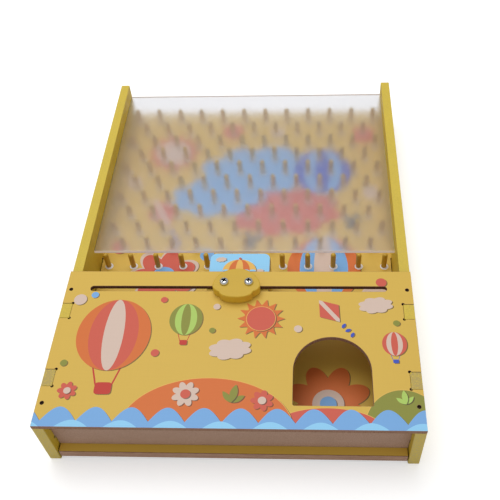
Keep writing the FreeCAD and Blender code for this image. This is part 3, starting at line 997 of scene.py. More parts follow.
# Laser scorch, dark enough to also paint the shade inside the narrow slot.
SCORCHED = {"light": shade(122, 80, 52), "dark": shade(90, 53, 30)}
# Laser scorch darkened further with painted shade, for small cuts, reliefs and holes where shade falls.
SCORCH_AND_DEEP_SHADE = {"light": shade(66, 42, 26), "dark": shade(38, 24, 15)}
SAWN = {"light": shade(190, 152, 128), "dark": shade(160, 122, 98)}
ROUTED = {"light": shade(168, 128, 104), "dark": shade(132, 92, 68)}

WALL_PAINT = PaintedWood("wall_paint")
WALL_EDGE_PAINT = PaintedWood(
    "wall_edge_paint",
    paint=shade(215, 188, 66),
    worn=shade(198, 180, 126),
    wear=0.12,
    foot_patches=0.22,
    brush=(1.6, 0.10, 0.10),
    gloss=0.48,
    speckle=0.40,
    texture=0.035,
)
TAB_PAINT = PaintedWood(
    "tab_paint",
    paint=shade(214, 187, 66),
    worn=shade(182, 161, 104),
    wear=0.14,
    foot_patches=0.34,
    brush=(0.3, 0.3, 0.3),
    gloss=0.50,
    speckle=0.55,
    texture=0.05,
)
KNOB_PAINT = PaintedWood("knob_paint", paint=shade(209, 171, 46), brush=(0.05, 1.2, 1.2))
PEG_PAINT = PaintedWood(
    "peg_paint",
    paint=shade(204, 164, 52),
    worn=shade(170, 128, 60),
    wear=0.06,
    brush=(2.4, 2.4, 0.08),
    gloss=0.40,
)
BARE_BOARD = BareBoard("bare_board")
BARE_END = BareBoard("bare_end", streak=CUT_ALONG_X, **SAWN)
CUT_EDGE = BareBoard("cut_edge", streak=CUT_ALONG_Z, **ROUTED)
SCORCHED_Y = BareBoard("scorched_edge_y", streak=CUT_ALONG_Y, **SCORCHED)
SCORCH_AND_SHADE_Z = BareBoard("scorched_edge_z", streak=CUT_ALONG_Z, **SCORCHED)
SCORCH_AND_DEEP_SHADE_X = BareBoard("burnt_edge_x", streak=CUT_ALONG_X, **SCORCH_AND_DEEP_SHADE)
SCORCH_AND_DEEP_SHADE_Z = BareBoard("burnt_edge_z", streak=CUT_ALONG_Z, **SCORCH_AND_DEEP_SHADE)
FROSTED = FrostedSheet("frosted_sheet_face")
CLEAR = FrostedSheet("clear_sheet_face", tint=(0.97, 0.97, 0.98, 1.0), clearness=1.0, frost=0.10)
# The sheet's cut edge: opaque, with a faint emission as painted light.
FROSTED_EDGE = FrostedSheet(
    "frosted_sheet_edge", tint=(0.92, 0.86, 0.86, 1.0), clearness=0.0, frost=0.50
)
CHROME = BrightMetal("bright_screw_chrome")
ZINC = BrightMetal(
    "zinc_plate", metal=(0.66, 0.66, 0.64, 1.0), dull=(0.30, 0.30, 0.29, 1.0), polish=0.30
)
# Steel nail heads given a near-black colour: painted shade for the deep nail holes.
SHADED_NAIL = BrightMetal(
    "dark_nail", metal=(0.05, 0.03, 0.02, 1.0), dull=(0.02, 0.01, 0.01, 1.0), polish=0.60
)


# Mesh work -------------------------------------------------------------------------------


def new_piece(name: str, data: bpy.types.ID) -> Piece:
    """Puts a mesh, a lamp or a camera into the scene.

    Args:
        name: The new object's name.
        data: Its mesh, its lamp or its camera.

    Returns:
        The object.
    """
    piece = bpy.data.objects.new(name, data)
    bpy.context.scene.collection.objects.link(piece)
    return piece


def baked_mesh(piece: Piece) -> bpy.types.Mesh:
    """Works out a piece's modifiers.

    Args:
        piece: The piece, which stays as it is.

    Returns:
        A plain mesh with the modifiers worked into it.
    """
    bpy.context.view_layer.update()
    graph = bpy.context.evaluated_depsgraph_get()
    return bpy.data.meshes.new_from_object(piece.evaluated_get(graph))


def settle(piece: Piece) -> None:
    """Works a piece's modifiers into its own mesh.

    Args:
        piece: The piece.
    """
    mesh = baked_mesh(piece)
    piece.modifiers.clear()
    piece.data = mesh
    mesh.name = piece.name


def report(piece: Piece) -> Piece:
    """Logs a finished piece and returns it."""
    LOG.info("%s: %d faces", piece.name, len(piece.data.polygons))
    return piece


def dress_packed(node: str, finish: Finish) -> Piece:
    """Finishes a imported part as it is.

    Args:
        node: The part's name.
        finish: What it is finished with.

    Returns:
        The part.
    """
    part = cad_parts[node]
    for slot in part.material_slots:
        slot.link = "OBJECT"
        slot.material = finish.material()
    return report(part)


def skin(rings: Sequence[Sequence[Triple]]) -> bmesh.types.BMesh:
    """Joins rings of points into a closed body.

    Args:
        rings: The rings from the foot to the top, all with as many points.

    Returns:
        The body.
    """
    body = bmesh.new()
    made = [[body.verts.new(point) for point in ring] for ring in rings]
    body.faces.new(reversed(made[0]))
    for lower, upper in zip(made, made[1:]):
        for k in range(len(lower)):
            after = (k + 1) % len(lower)
            body.faces.new((lower[k], lower[after], upper[after], upper[k]))
    body.faces.new(made[-1])
    return body


def lathe(profile: Sequence[Span], sides: int) -> bmesh.types.BMesh:
    """Turns steps of radius and height, from the foot up, round the Z axis into a closed body."""
    angles = [2 * math.pi * k / sides for k in range(sides)]
    return skin([[(r * math.cos(a), r * math.sin(a), z) for a in angles] for r, z in profile])


def to_mesh(body: bmesh.types.BMesh, name: str, smooth: float = 40.0) -> bpy.types.Mesh:
    """Turns a body in millimetres into a mesh in metres.

    Args:
        body: The body. It is used up.
        name: The mesh's name.
        smooth: Faces that meet at less than this angle, in degrees, look smooth.

    Returns:
        The mesh.
    """
    bmesh.ops.scale(body, vec=(MM, MM, MM), verts=body.verts)
    bmesh.ops.recalc_face_normals(body, faces=body.faces)
    mesh = bpy.data.meshes.new(name)
    body.to_mesh(mesh)
    body.free()
    mesh.shade_smooth()
    mesh.set_sharp_from_angle(angle=math.radians(smooth))
    return mesh


class Face(Enum):
    """Kinds of face on a board, each with a finish of its own."""

    FRONT = auto()
    EDGE = auto()
    BACK = auto()
    END = auto()
    INNER = auto()
    TAB = auto()
    SLOT = auto()
    HOLE = auto()


def all_edge(middle: Vector, normal: Vector) -> Face:
    """Takes every face for an edge, on a board with one finish."""
    return Face.EDGE


def flat_faces(middle: Vector, normal: Vector) -> Face:
    """Sorts a flat board's faces by which way they look.

    Args:
        middle: The face's middle.
        normal: Which way it looks.

    Returns:
        The front, the back or an edge.
    """
    if abs(normal.z) <= FACING:
        return Face.EDGE
    return Face.FRONT if normal.z > 0 else Face.BACK


@dataclass(frozen=True)
class Blank:
    """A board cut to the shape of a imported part, with its edges broken.

    Seams across it at split_at keep its broad faces simple. Edges inside plain, which is given as
    left, right, near and far, stay as they were cut.
    """

    name: str
    node: str
    finishes: dict[Face, Finish]
    sort: Callable[[Vector, Vector], Face] = flat_faces
    body: str = "case"
    slot: str = "painted_wood"
    broken: float = 0.3
    split_at: tuple[float, ...] = ()
    plain: tuple[float, float, float, float] = (0.0, 0.0, 0.0, 0.0)

    def outline(self) -> bmesh.types.BMesh:
        """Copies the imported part's shape.

        Returns:
            The shape, with its flat faces whole between the seams.
        """
        body = bmesh.new()
        body.from_mesh(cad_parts[self.node].data)
        bmesh.ops.remove_doubles(body, verts=body.verts, dist=SAME_POINT)
        for y in self.split_at:
            whole = [*body.verts, *body.edges, *body.faces]
            seam = {"plane_co": in_frame(0.0, y, 0.0), "plane_no": (0.0, 1.0, 0.0)}
            for line in bmesh.ops.bisect_plane(body, geom=whole, **seam)["geom_cut"]:
                if isinstance(line, bmesh.types.BMEdge):
                    line.seam = True
        bmesh.ops.dissolve_limit(
            body, angle_limit=SAME_PLANE, verts=body.verts[:], edges=body.edges[:], delimit={"SEAM"}
        )
        return body

    def mesh(self) -> bpy.types.Mesh:
        """Marks the edges to break and gives each face its finish.

        Returns:
            The board's mesh, before its edges are broken.
        """
        body = self.outline()
        kinds = list(self.finishes)
        left, right, near, far = self.plain
        weights = body.edges.layers.float.new("bevel_weight_edge")
        for line in body.edges:
            middle = on_case((line.verts[0].co + line.verts[1].co) / 2)
            kept = left < middle.x < right and near < middle.y < far
            line[weights] = 1.0 if line.calc_face_angle(0.0) > SHARP and not kept else 0.0
        for face in body.faces:
            middle = on_case(face.calc_center_median())
            face.material_index = kinds.index(self.sort(middle, face.normal))
            face.smooth = True
        mesh = bpy.data.meshes.new(self.name)
        body.to_mesh(mesh)
        body.free()
        old_normals = mesh.attributes.get("custom_normal")
        if old_normals is not None:
            mesh.attributes.remove(old_normals)
        mesh.set_sharp_from_angle(angle=SHARP)
        for finish in self.finishes.values():
            mesh.materials.append(finish.material())
        return mesh

    def build(self) -> Piece:
        """Cuts the board, breaks its edges and dresses it.

        Returns:
            The finished piece.
        """
        piece = new_piece(self.name, self.mesh())
        bevel = piece.modifiers.new("broken edge", "BEVEL")
        bevel.limit_method = "WEIGHT"
        bevel.width = self.broken * MM
        bevel.segments = 2
        bevel.material = list(self.finishes).index(Face.EDGE)
        bevel.use_clamp_overlap = False
        settle(piece)
        for face in piece.data.polygons:
            level = max(abs(axis) for axis in face.normal) > LEVEL
            face.use_smooth = not (level and face.area > FLAT_AREA)
        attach(piece, self.body)
        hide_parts(self.node)
        return report(piece)


class RowTree(Group):
    """Sets out copies of one part along a line."""

    family = "GeometryNodeTree"
    title = "row of parts"
    takes = {
        "Part": Kind.OBJECT,
        "Count": Kind.COUNT,
        "Start": Kind.VECTOR,
        "Step": Kind.VECTOR,
        "First Turn": Kind.NUMBER,
        "Turn Step": Kind.NUMBER,
        "Lean": Kind.NUMBER,
        "Seed": Kind.COUNT,
        "Finish": Kind.MATERIAL,
    }
    gives = {"Geometry": Kind.GEOMETRY}

    def wire(self, wiring: Wiring, taken: Sockets) -> Sockets:
        """Wires the row.

        Args:
            wiring: The group's own wiring.
            taken: The group's inputs by name.

        Returns:
            What each of the group's outputs gets.
        """
        ends = {"Count": taken["Count"], "Start Location": taken["Start"], "Offset": taken["Step"]}
        line = wiring.add("GeometryNodeMeshLine", ends, mode="OFFSET")
        part = wiring.add("GeometryNodeObjectInfo", {"Object": taken["Part"]})
        least = wiring.sum("MULTIPLY", taken["Lean"], -1.0)
        leans = {"Min": least, "Max": taken["Lean"], "Seed": taken["Seed"]}
        lean = wiring.add("FunctionNodeRandomValue", leans, data_type="FLOAT_VECTOR")
        tilt = wiring.vector("MULTIPLY", lean.outputs[0], (1.0, 1.0, 0.0))
        place = wiring.add("GeometryNodeInputIndex").outputs[0]
        turn = wiring.sum("MULTIPLY_ADD", place, taken["Turn Step"], taken["First Turn"])
        spin = wiring.add("ShaderNodeCombineXYZ", {"Z": turn}).outputs[0]
        copies = {
            "Points": line.outputs[0],
            "Instance": part.outputs["Geometry"],
            "Rotation": wiring.vector("ADD", tilt, spin),
        }
        placed = wiring.add("GeometryNodeInstanceOnPoints", copies)
        real = wiring.add("GeometryNodeRealizeInstances", {0: placed.outputs[0]})
        coated = {"Geometry": real.outputs[0], "Material": taken["Finish"]}
        dressed = wiring.add("GeometryNodeSetMaterial", coated)
        return {"Geometry": dressed.outputs[0]}

    def build(self, name: str, part: bpy.types.Mesh, finish: Finish, **inputs: Feed) -> Piece:
        """Sets the parts out and makes them one plain piece.

        Args:
            name: The piece's name.
            part: The mesh of one part.
            finish: What the parts are finished with.
            inputs: The tree's other inputs, with _ for the space in a name.

        Returns:
            The piece.
        """
        pattern = new_piece(name + "_pattern", part)
        piece = new_piece(name, bpy.data.meshes.new(name))
        modifier = piece.modifiers.new("row", "NODES")
        modifier.node_group = self.tree()
        values = {key.replace("_", " "): value for key, value in inputs.items()}
        values |= {"Part": pattern, "Finish": finish.material()}
        for item in self.tree().interface.items_tree:
            if item.in_out == "INPUT" and item.name in values:
                modifier[item.identifier] = values[item.name]
        piece.update_tag()
        settle(piece)
        bpy.data.objects.remove(pattern)
        return piece


# Sub-assemblies --------------------------------------------------------------------------


@dataclass
class PegField:
    """The rows of pegs, which are long and short in turn."""

    long_x: float = 16.9
    short_x: float = 29.0
    long_count: int = 12
    short_count: int = 11
    pitch: float = 24.2
    first_y: float = 193.0
    row_step: float = 21.1
    rows: int = 11
    foot: float = 7.0
    height: float = 24.0
    radius: float = 2.49
    tip_round: float = 2.0
    sides: int = 14
    turn_step: float = 0.7
    lean: float = math.radians(0.35)

    def peg(self) -> bpy.types.Mesh:
        """Turns one peg with a round tip.

        Returns:
            The peg's mesh, with its foot at the origin.
        """
        shoulder = self.height - self.tip_round
        flat = self.radius - self.tip_round
        steps = [(self.radius, 0.0)]
        for angle in map(math.radians, (0, 32, 62, 90)):
            rise = self.tip_round * math.sin(angle)
            steps.append((flat + self.tip_round * math.cos(angle), shoulder + rise))
        return to_mesh(lathe(steps, self.sides), "peg", smooth=60.0)

    def build(self) -> list[Piece]:
        """Sets the pegs out row by row.

        Returns:
            One piece for each row.
        """
        pieces = []
        for row in range(self.rows):
            long_row = row % 2 == 0
            start_x = self.long_x if long_row else self.short_x
            piece = RowTree().build(
                f"pegs_{row + 1:02d}",
                self.peg(),
                PEG_PAINT,
                Count=self.long_count if long_row else self.short_count,
                Start=in_frame(start_x, self.first_y + row * self.row_step, self.foot),
                Step=Vector((self.pitch, 0.0, 0.0)) * MM,
                First_Turn=0.0,
                Turn_Step=self.turn_step,
                Lean=self.lean,
                Seed=row,
            )
            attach(piece, "case")
            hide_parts(f"peg_row_{row + 1:02d}")
            pieces.append(report(piece))
        return pieces


@dataclass
class Case:
    """Two walls, the board behind the pegs, the board across the foot and the front panel."""

    outline_margin: float = 2.0
    wall_height: float = 55.0
    tab_rise: float = 3.5
    slot_reach: float = 4.0
    slot_from_side: float = 15.0
    holes_from_side: Span = (1.0, 12.0)
    mortise_centres: tuple[float, ...] = (12.5, 67.5, 210.0, 352.5)
    peg_holes: tuple[float, float, float, float] = (12.0, 288.0, 189.0, 412.0)

    def wall_faces(self, middle: Vector, normal: Vector) -> Face:
        """Sorts a wall's faces.

        Args:
            middle: The face's middle.
            normal: Which way it looks.

        Returns:
            The broad front, the end of a tab, an inner cut or an outer edge.
        """
        margin = self.outline_margin
        if abs(normal.x) > FACING:
            return Face.FRONT
        if middle.z > self.wall_height + self.tab_rise:
            return Face.TAB
        low = margin < middle.z < self.wall_height - margin
        return Face.INNER if low and margin < middle.y < CASE_LENGTH - margin else Face.EDGE

    def play_board_faces(self, middle: Vector, normal: Vector) -> Face:
        """Sorts the play board's faces.

        Args:
            middle: The face's middle.
            normal: Which way it looks.

        Returns:
            A sawn end, or what a flat board has.
        """
        margin = self.outline_margin
        if abs(normal.y) > FACING and not margin < middle.y < CASE_LENGTH - margin:
            return Face.END
        return flat_faces(middle, normal)

    def panel_faces(self, middle: Vector, normal: Vector) -> Face:
        """Sorts the front panel's faces.

        Args:
            middle: The face's middle.
            normal: Which way it looks.

        Returns:
            A wall of the slot, a wall of a small hole, or what a flat board has.
        """
        from_side = min(middle.x, CASE_WIDTH - middle.x)
        least, most = self.holes_from_side
        upright = abs(normal.z) < FACING
        # The slot's walls get a darker finish than the outline: painted shade for the narrow slot.
        if upright and from_side > self.slot_from_side and abs(middle.y - SLOT_Y) < self.slot_reach:
            return Face.SLOT
        return Face.HOLE if upright and least < from_side < most else flat_faces(middle, normal)

    def foot_faces(self, middle: Vector, normal: Vector) -> Face:
        """Sorts the faces of the foot board, which stands upright."""
        return Face.FRONT if abs(normal.y) > FACING else Face.EDGE

    def panel_print(self) -> tuple[Cut | Motif, ...]:
        """Cuts the front panel's print: balloons, kites and flowers over hills and a bank.

        Returns:
            The print's parts, lowest first.
        """
        return (
            Cut(Shape.DOME, Ink.OLIVE, 284.0, 0.0, 30.0, 34.0, rim=Ink.AMBER),
            Cut(Shape.DOME, Ink.CORAL, 226.0, 0.0, 42.0, 18.0, rim=Ink.AMBER),
            Cut(Shape.DOME, Ink.ORANGE, 134.0, 0.0, 66.0, 43.0, rim=Ink.AMBER),
            Cloud(268.0, 114.0, 15.0, Ink.CREAM),
            Balloon(50.0, 84.0, 31.0, Ink.ORANGE, Ink.CORAL, Ink.CREAM, Ink.RED),
            Balloon(109.0, 99.0, 14.0, Ink.OLIVE, Ink.LEAF, Ink.OLIVE, Ink.RED),
            Balloon(281.0, 76.0, 10.0, Ink.CORAL, Ink.CREAM, Ink.CORAL, Ink.INDIGO),
            Cloud(148.0, 70.0, 18.0, Ink.CREAM),
            Sun(172.0, 100.0, 20.0, Ink.ORANGE, Ink.CORAL),
            Kite(229.0, 108.0, 14.0, Ink.CORAL, Ink.CREAM, Ink.INDIGO, 38.0),
            Sprig(152.0, 22.0, 8.0, Ink.OLIVE, 78.0),
            Bloom(116.0, 29.0, 11.0, Ink.CREAM, Ink.CORAL, 8),
            Bloom(176.0, 24.0, 9.0, Ink.CORAL, Ink.CREAM, 7),
            Bloom(22.0, 31.0, 8.0, Ink.CORAL, Ink.CREAM, 7),
            Sprig(286.0, 22.0, 6.0, Ink.LEAF, 96.0),
            *dots(
                (15.0, 119.0, 5.6, Ink.CREAM),
                (27.0, 124.0, 3.2, Ink.SKY),
                (88.0, 119.0, 3.0, Ink.CORAL),
                (134.0, 112.0, 3.0, Ink.CREAM),
                (132.0, 88.0, 2.6, Ink.OLIVE),
                (203.0, 90.0, 3.4, Ink.CREAM),
                (274.0, 138.0, 4.6, Ink.CORAL),
                (284.0, 96.0, 2.8, Ink.OLIVE),
                (87.0, 66.0, 3.4, Ink.CORAL),
                (14.0, 56.0, 3.0, Ink.OLIVE),
            ),
            Cut(Shape.BANK, Ink.SKY, 6.0, 5.0, 14.0, 12.0),
            Cut(Shape.BANK, Ink.PALE_SKY, 12.0, -5.0, 19.0, 11.0),
        )

    def field_print(self) -> tuple[Cut | Motif, ...]:
        """Cuts the print behind the pegs: the same things at a larger size.

        Returns:
            The print's parts, lowest first.
        """
        return (
            Cloud(188.0, 262.0, 58.0, Ink.CORAL),
            Cloud(118.0, 286.0, 52.0, Ink.SKY),
            Cloud(158.0, 324.0, 66.0, Ink.SKY),
            Balloon(226.0, 322.0, 30.0, Ink.INDIGO, Ink.SKY, Ink.INDIGO, Ink.CORAL),
            Sun(62.0, 352.0, 31.0, Ink.CORAL, Ink.CREAM),
            Kite(60.0, 262.0, 22.0, Ink.CORAL, Ink.CREAM, Ink.INDIGO, 28.0),
            Bloom(72.0, 180.0, 36.0, Ink.CREAM, Ink.CREAM, 7),
            Bloom(72.0, 180.0, 32.0, Ink.CORAL, Ink.SKY, 7),
            Balloon(226.0, 190.0, 35.0, Ink.ORANGE, Ink.SKY, Ink.CREAM, Ink.RED),
            Cloud(272.0, 158.0, 17.0, Ink.CREAM),
            Cloud(137.0, 166.0, 14.0, Ink.CREAM),
            Sprig(146.0, 222.0, 11.0, Ink.DUSK, 20.0),
            Sprig(262.0, 246.0, 11.0, Ink.DUSK, 150.0),
            Bloom(228.0, 46.0, 37.0, Ink.ORANGE, Ink.CREAM, 8),
            Cloud(206.0, 22.0, 16.0, Ink.SKY),
            *dots(
                (228.0, 46.0, 7.0, Ink.SKY),
                (112.0, 206.0, 7.0, Ink.SKY),
                (24.0, 216.0, 8.0, Ink.CORAL),
                (126.0, 386.0, 12.0, Ink.CORAL),
                (176.0, 384.0, 8.0, Ink.CREAM),
                (272.0, 380.0, 13.0, Ink.CORAL),
                (276.0, 290.0, 9.0, Ink.CREAM),
                (26.0, 306.0, 8.0, Ink.CREAM),
                (176.0, 156.0, 5.0, Ink.CORAL),
            ),
        )

    def build(self) -> list[Piece]:
        """Cuts and dresses the case's boards.

        Returns:
            The case's pieces.
        """
        wall = {
            Face.FRONT: WALL_PAINT,
            Face.EDGE: WALL_EDGE_PAINT,
            # Mortise walls, reliefs and grooves: scorch with painted shade.
            Face.INNER: SCORCH_AND_DEEP_SHADE_X,
            Face.TAB: TAB_PAINT,
        }
        play = {
            Face.FRONT: PrintedBoard("field_print", self.field_print(), spotted=True),
            Face.EDGE: SCORCH_AND_SHADE_Z,
            Face.BACK: BARE_BOARD,
            Face.END: BARE_END,
        }
        panel = {
            Face.FRONT: PrintedBoard("panel_print", self.panel_print()),
            Face.EDGE: CUT_EDGE,
            Face.BACK: BARE_BOARD,
            # Slot walls: scorch with painted shade.
            Face.SLOT: SCORCH_AND_SHADE_Z,
            # Walls of the nail holes: scorch with painted shade.
            Face.HOLE: SCORCH_AND_DEEP_SHADE_Z,
        }
        foot = {Face.FRONT: BARE_BOARD, Face.EDGE: SCORCHED_Y}
        sawn = {"broken": 0.5, "split_at": self.mortise_centres}
        printed = {"slot": "printed_board"}
        boards = (
            Blank("left_wall", "side_wall_left", wall, self.wall_faces, **sawn),
            Blank("right_wall", "side_wall_right", wall, self.wall_faces, **sawn),
            Blank(
                "play_board", "back_board", play, self.play_board_faces, plain=self.peg_holes, **printed
            ),
            Blank("foot_board", "bottom_board", foot, self.foot_faces),
            Blank("front_board", "front_panel", panel, self.panel_faces, broken=0.2, **printed),
        )
        # The nail heads carry painted shade for their deep holes.
        return [board.build() for board in boards] + [dress_packed("panel_nails", SHADED_NAIL)]


@dataclass
class Cover:
    """The frosted sheet over the pegs."""

    broken: float = 0.15

    def build(self) -> list[Piece]:
        """Cuts the sheet and frosts its face.

        Returns:
            The sheet.
        """
        faces = {Face.FRONT: FROSTED, Face.EDGE: FROSTED_EDGE, Face.BACK: CLEAR}
        sheet = Blank("frosted_cover", "cover_sheet", faces, slot="frosted_sheet", broken=self.broken)
        return [sheet.build()]


@dataclass
class Screw:
    """A pan head machine screw with a cross recess."""

    head_radius: float = 3.9
    head_height: float = 3.1
    rim_height: float = 0.9
    rim_round: float = 0.25
    crown_power: float = 0.62
    shank_radius: float = 2.0
    root_radius: float = 1.7
    point_share: float = 0.8
    point_height: float = 0.3
    length: float = 22.1
    thread: float = 0.7
    threaded: float = 12.0
    recess_depth: float = 2.0
    recess_reach: float = 2.45
    recess_half: float = 0.70
    recess_slack: float = 0.1
    wing_foot: Span = (1.1, 0.50)
    wing_over: Triple = (0.4, 0.25, 0.10)
    core_radii: Span = (0.7, 1.45)
    core_over: float = 0.5
    unshaded_rim: float = 0.35
    sides: int = 28
    core_sides: int = 20
    smooth: float = math.radians(35)

    def shank(self) -> list[Span]:
        """Works out the thread's and the shank's profile.

        Returns:
            Its steps, from the point up to the head.
        """
        foot = -self.length
        steps = [(self.root_radius * self.point_share, foot)]
        for k in range(int(self.threaded / self.thread)):
            start = foot + self.point_height + k * self.thread
            steps += [(self.root_radius, start), (self.shank_radius, start + self.thread / 2)]
        return steps + [(self.shank_radius, 0.0)]

    def head(self) -> list[Span]:
        """Works out the head's profile.

        Returns:
            Its steps, from its seat up to its crown.
        """
        rim, side, soft = self.head_radius, self.rim_height, self.rim_round
        steps = [(rim - soft, 0.0), (rim, soft), (rim, side)]
        for angle in map(math.radians, (12, 24, 36, 48, 60, 72, 82)):
            rise = (self.head_height - side) * math.sin(angle)
            steps.append((rim * math.cos(angle) ** self.crown_power, side + rise))
        return steps + [(soft, self.head_height)]

    def wing(self, turn: float) -> bmesh.types.BMesh:
        """Makes one tapered wing of the tool that cuts the recess.

        Args:
            turn: Its turn about the screw's axis, in degrees.

        Returns:
            The wing, in millimetres.
        """
        above, beyond, aside = self.wing_over
        ends = (
            (self.head_height - self.recess_depth, *self.wing_foot),
            (self.head_height + above, self.recess_reach + beyond, self.recess_half + aside),
        )
        body = skin([[(x * reach, y * half, height) for x, y in CORNERS] for height, reach, half in ends])
        spin = Matrix.Rotation(math.radians(turn), 3, "Z")
        bmesh.ops.rotate(body, matrix=spin, verts=body.verts)
        return body

    def mesh(self) -> bpy.types.Mesh:
        """Turns the screw, cuts its recess and marks what is hollow.

        Returns:
            The screw's mesh, with the seat of its head at the origin.
        """
        body = to_mesh(lathe(self.shank() + self.head(), self.sides), "screw_blank")
        blank = new_piece("screw_blank", body)
        tools = []
        narrow, wide = self.core_radii
        floor = self.head_height - self.recess_depth - self.recess_slack
        core = ((narrow, floor), (wide, self.head_height + self.core_over))
        for shape in (self.wing(0.0), self.wing(90.0), lathe(core, self.core_sides)):
            tool = new_piece("recess_tool", to_mesh(shape, "recess_tool"))
            cut = blank.modifiers.new("recess", "BOOLEAN")
            cut.object, cut.operation, cut.solver = tool, "DIFFERENCE", "EXACT"
            tools.append(tool)
        made = baked_mesh(blank)
        for helper in (blank, *tools):
            bpy.data.objects.remove(helper)
        made.shade_smooth()
        made.set_sharp_from_angle(angle=self.smooth)
        # Marks the faces inside the cross recess for painted shade, all but a band under the crown.
        hollow = made.attributes.new(HOLLOW, "FLOAT", "FACE")
        top = self.head_height - self.unshaded_rim
        for face in made.polygons:
            middle = face.center / MM
            near = middle.to_2d().length < self.recess_reach + self.recess_slack
            hollow.data[face.index].value = 1.0 if near and self.rim_height < middle.z < top else 0.0
        return made


@dataclass
class Catcher:
    """The knob and all that slides with it."""

    centre_x: float = 150.0
    print_y: float = 157.0
    screw_reach: float = 10.5
    screw_turn: float = math.radians(64.0)
    screw_turn_step: float = math.radians(24.0)
    knob_top: float = 68.3

    def plate_print(self) -> tuple[Cut | Motif, ...]:
        """Cuts the plate's print: a parasol and two small clouds on pale sky.

        Returns:
            The print's parts, lowest first.
        """
        x, y = self.centre_x, self.print_y
        inner = {"lifted": False, "inside": True}
        return (
            Cut(Shape.BLOCK, Ink.YELLOW, x, 119.0, 40.0, 21.0, points=40, lifted=False),
            Cloud(x - 17.0, y + 10.0, 5.0, Ink.CREAM),
            Cloud(x + 18.0, y - 3.0, 4.0, Ink.CREAM),
            Cut(Shape.BLOCK, Ink.RED, x, y - 8.0, 0.6, 10.0, points=6),
            Cut(Shape.DOME, Ink.AMBER, x, y - 3.0, 15.0, 13.0),
            Cut(Shape.OVAL, Ink.ORANGE, x, y - 3.0, 9.4, 13.0, **inner),
            Cut(Shape.OVAL, Ink.AMBER, x, y - 3.0, 3.4, 13.0, **inner),
            *[
                Cut(Shape.DOME, Ink.PALE_SKY, x + k * 6.0, y - 3.2, 3.0, 1.8, lifted=False)
                for k in (-2, -1, 0, 1, 2)
            ],
            *dots((x, y + 11.2, 1.1, Ink.CORAL)),
        )

    def screws(self) -> Piece:
        """Sets out the two screws.

        Returns:
            Both screws as one piece.
        """
        screws = RowTree().build(
            "pan_head_screws",
            Screw().mesh(),
            CHROME,
            Count=2,
            Start=in_frame(self.centre_x - self.screw_reach, SLOT_Y, self.knob_top),
            Step=Vector((2 * self.screw_reach, 0.0, 0.0)) * MM,
            First_Turn=self.screw_turn,
            Turn_Step=self.screw_turn_step,
            Lean=0.0,
            Seed=0,
        )
        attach(screws, "catcher")
        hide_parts("knob_screws")
        return report(screws)

    def build(self) -> list[Piece]:
        """Cuts, turns and dresses the catcher's parts.

        Returns:
            The catcher's pieces.
        """
        plate = {
            Face.FRONT: PrintedBoard("plate_print", self.plate_print(), ground=Ink.PALE_SKY),
            Face.EDGE: CUT_EDGE,
            Face.BACK: BARE_BOARD,
        }
        knob, cup = {Face.EDGE: KNOB_PAINT}, {Face.EDGE: WALL_PAINT}
        slides = {"body": "catcher"}
        boards = (
            Blank("knob_block", "knob", knob, all_edge, broken=0.7, **slides),
            Blank("catch_plate", "catcher_plate", plate, slot="printed_board", broken=0.2, **slides),
            Blank("cup_left_cheek", "cup_cheek_left", cup, all_edge, **slides),
            Blank("cup_right_cheek", "cup_cheek_right", cup, all_edge, **slides),
            Blank("cup_bottom", "cup_floor", cup, all_edge, **slides),
        )
        pieces = [board.build() for board in boards] + [self.screws()]
        fittings = ("slide_sleeves", "knob_washers", "knob_nuts")
        return pieces + [dress_packed(node, ZINC) for node in fittings]


# Studio ----------------------------------------------------------------------------------


@dataclass(frozen=True)
class Camera:
    """Where the view is taken from. Lengths are metres in the frame."""

    location: Triple = (0.06366, -0.45680, 0.56505)
    turn_degrees: Triple = (39.818, 2.323, 1.907)
    lens: float = 52.753
    sensor: float = 36.0
    shift_x: float = -0.045
    clip: Span = (0.01, 50.0)

    def build(self) -> Piece:
        """Sets the camera up.

        Returns:
            The camera.
        """
        data = bpy.data.cameras.new("view_camera")
        data.lens = self.lens
        data.sensor_width = self.sensor
        data.shift_x = self.shift_x
        data.clip_start, data.clip_end = self.clip
        camera = new_piece("view_camera", data)
        camera.location = self.location
        camera.rotation_euler = Euler([math.radians(a) for a in self.turn_degrees])
        bpy.context.scene.camera = camera
        return camera


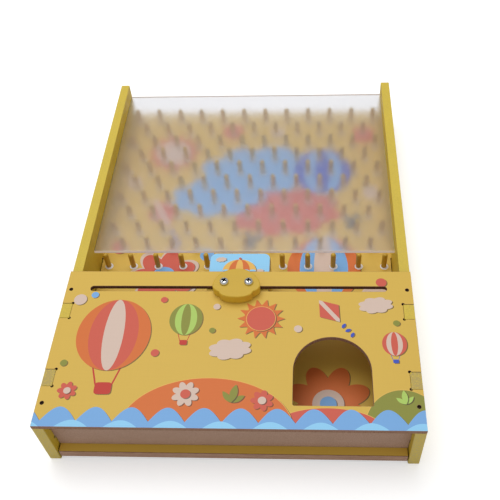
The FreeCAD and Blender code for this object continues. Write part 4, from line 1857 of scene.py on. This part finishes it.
@dataclass(frozen=True)
class Studio:
    """A pale floor, a white surround and one soft lamp from behind and above, in metres."""

    floor_half: float = 8.0
    floor_z: float = -0.0002
    floor_tone: float = 0.80
    floor_lift: float = 0.46
    floor_fade: Span = (0.35, 2.0)
    fill: float = 0.42
    front_fill: float = 0.26
    key_power: float = 18.0
    key_side: float = 1.3
    key_place: Triple = (-0.24, 0.45, 1.79)

    def seen(self, wiring: Wiring, through: float) -> Socket:
        """Tells the rays that show the background from those that light.

        Args:
            wiring: The material's wiring.
            through: How much a view through the cover counts.

        Returns:
            1 for a plain view, `through` for one through the cover, and 0 for light.
        """
        path = wiring.add("ShaderNodeLightPath").outputs
        behind = wiring.sum("MULTIPLY", path["Is Transmission Ray"], through)
        return wiring.sum("MAXIMUM", path["Is Camera Ray"], behind)

    def world(self) -> None:
        """Makes the surround: white to the eye, and dimmer as a source of light."""
        world = bpy.data.worlds.new("white_surround")
        wiring = Wiring.of(world)
        way = wiring.add("ShaderNodeTexCoord").outputs["Generated"]
        front = wiring.sum("MAXIMUM", wiring.sum("MULTIPLY", wiring.axes(way)["Y"], -1.0), 0.0)
        dim = wiring.sum("MULTIPLY_ADD", front, self.front_fill, self.fill)
        strength = wiring.sum("MAXIMUM", self.seen(wiring, 0.0), dim)
        white = {"Color": (1.0, 1.0, 1.0, 1.0), "Strength": strength}
        ground = wiring.add("ShaderNodeBackground", white)
        wiring.add("ShaderNodeOutputWorld", {"Surface": ground.outputs[0]})
        bpy.context.scene.world = world

    def floor_white(self) -> bpy.types.Material:
        """Makes the floor's finish, which keeps the board's shadow near it.

        Returns:
            The floor's material.
        """
        material = bpy.data.materials.new("floor_white")
        wiring = Wiring.of(material)
        card = wiring.add("ShaderNodeBsdfDiffuse", {"Color": (*(self.floor_tone,) * 3, 1.0)})
        reach = wiring.vector("LENGTH", wiring.add("ShaderNodeTexCoord").outputs["Object"])
        whole = wiring.spread(reach, self.floor_fade, (self.floor_lift, 1.0))
        lift = wiring.sum("MULTIPLY", self.seen(wiring, 1.0), whole)
        glow = wiring.add("ShaderNodeEmission", {"Strength": lift})
        both = wiring.add("ShaderNodeAddShader", {0: card.outputs[0], 1: glow.outputs[0]})
        wiring.add("ShaderNodeOutputMaterial", {"Surface": both.outputs[0]})
        return material

    def floor(self) -> None:
        """Lays the floor."""
        mesh = bpy.data.meshes.new("floor")
        corners = [(x * self.floor_half, y * self.floor_half, self.floor_z) for x, y in CORNERS]
        mesh.from_pydata(corners, [], [(0, 1, 2, 3)])
        mesh.materials.append(self.floor_white())
        floor = new_piece("studio_floor", mesh)

    def key_lamp(self) -> None:
        """Hangs one square lamp that points at the middle of the board."""
        data = bpy.data.lights.new("key_lamp", "AREA")
        data.energy = self.key_power
        data.size = self.key_side
        lamp = new_piece("key_lamp", data)
        lamp.location = self.key_place
        lamp.rotation_euler = (-Vector(self.key_place)).to_track_quat("-Z", "Y").to_euler()

    def build(self) -> None:
        """Sets up the surround, the floor and the lamp."""
        self.world()
        self.floor()
        self.key_lamp()
        bpy.context.scene.view_settings.view_transform = "Standard"


def main() -> None:
    """Builds the studio and every part of the board."""
    logging.basicConfig(level=logging.INFO, format="%(name)s %(message)s")
    Camera().build()
    Studio().build()
    for part in (Case(), PegField(), Cover(), Catcher()):
        LOG.info("%s: %d pieces", type(part).__name__, len(part.build()))
    bpy.context.view_layer.update()


if __name__ == "__main__":
    main()
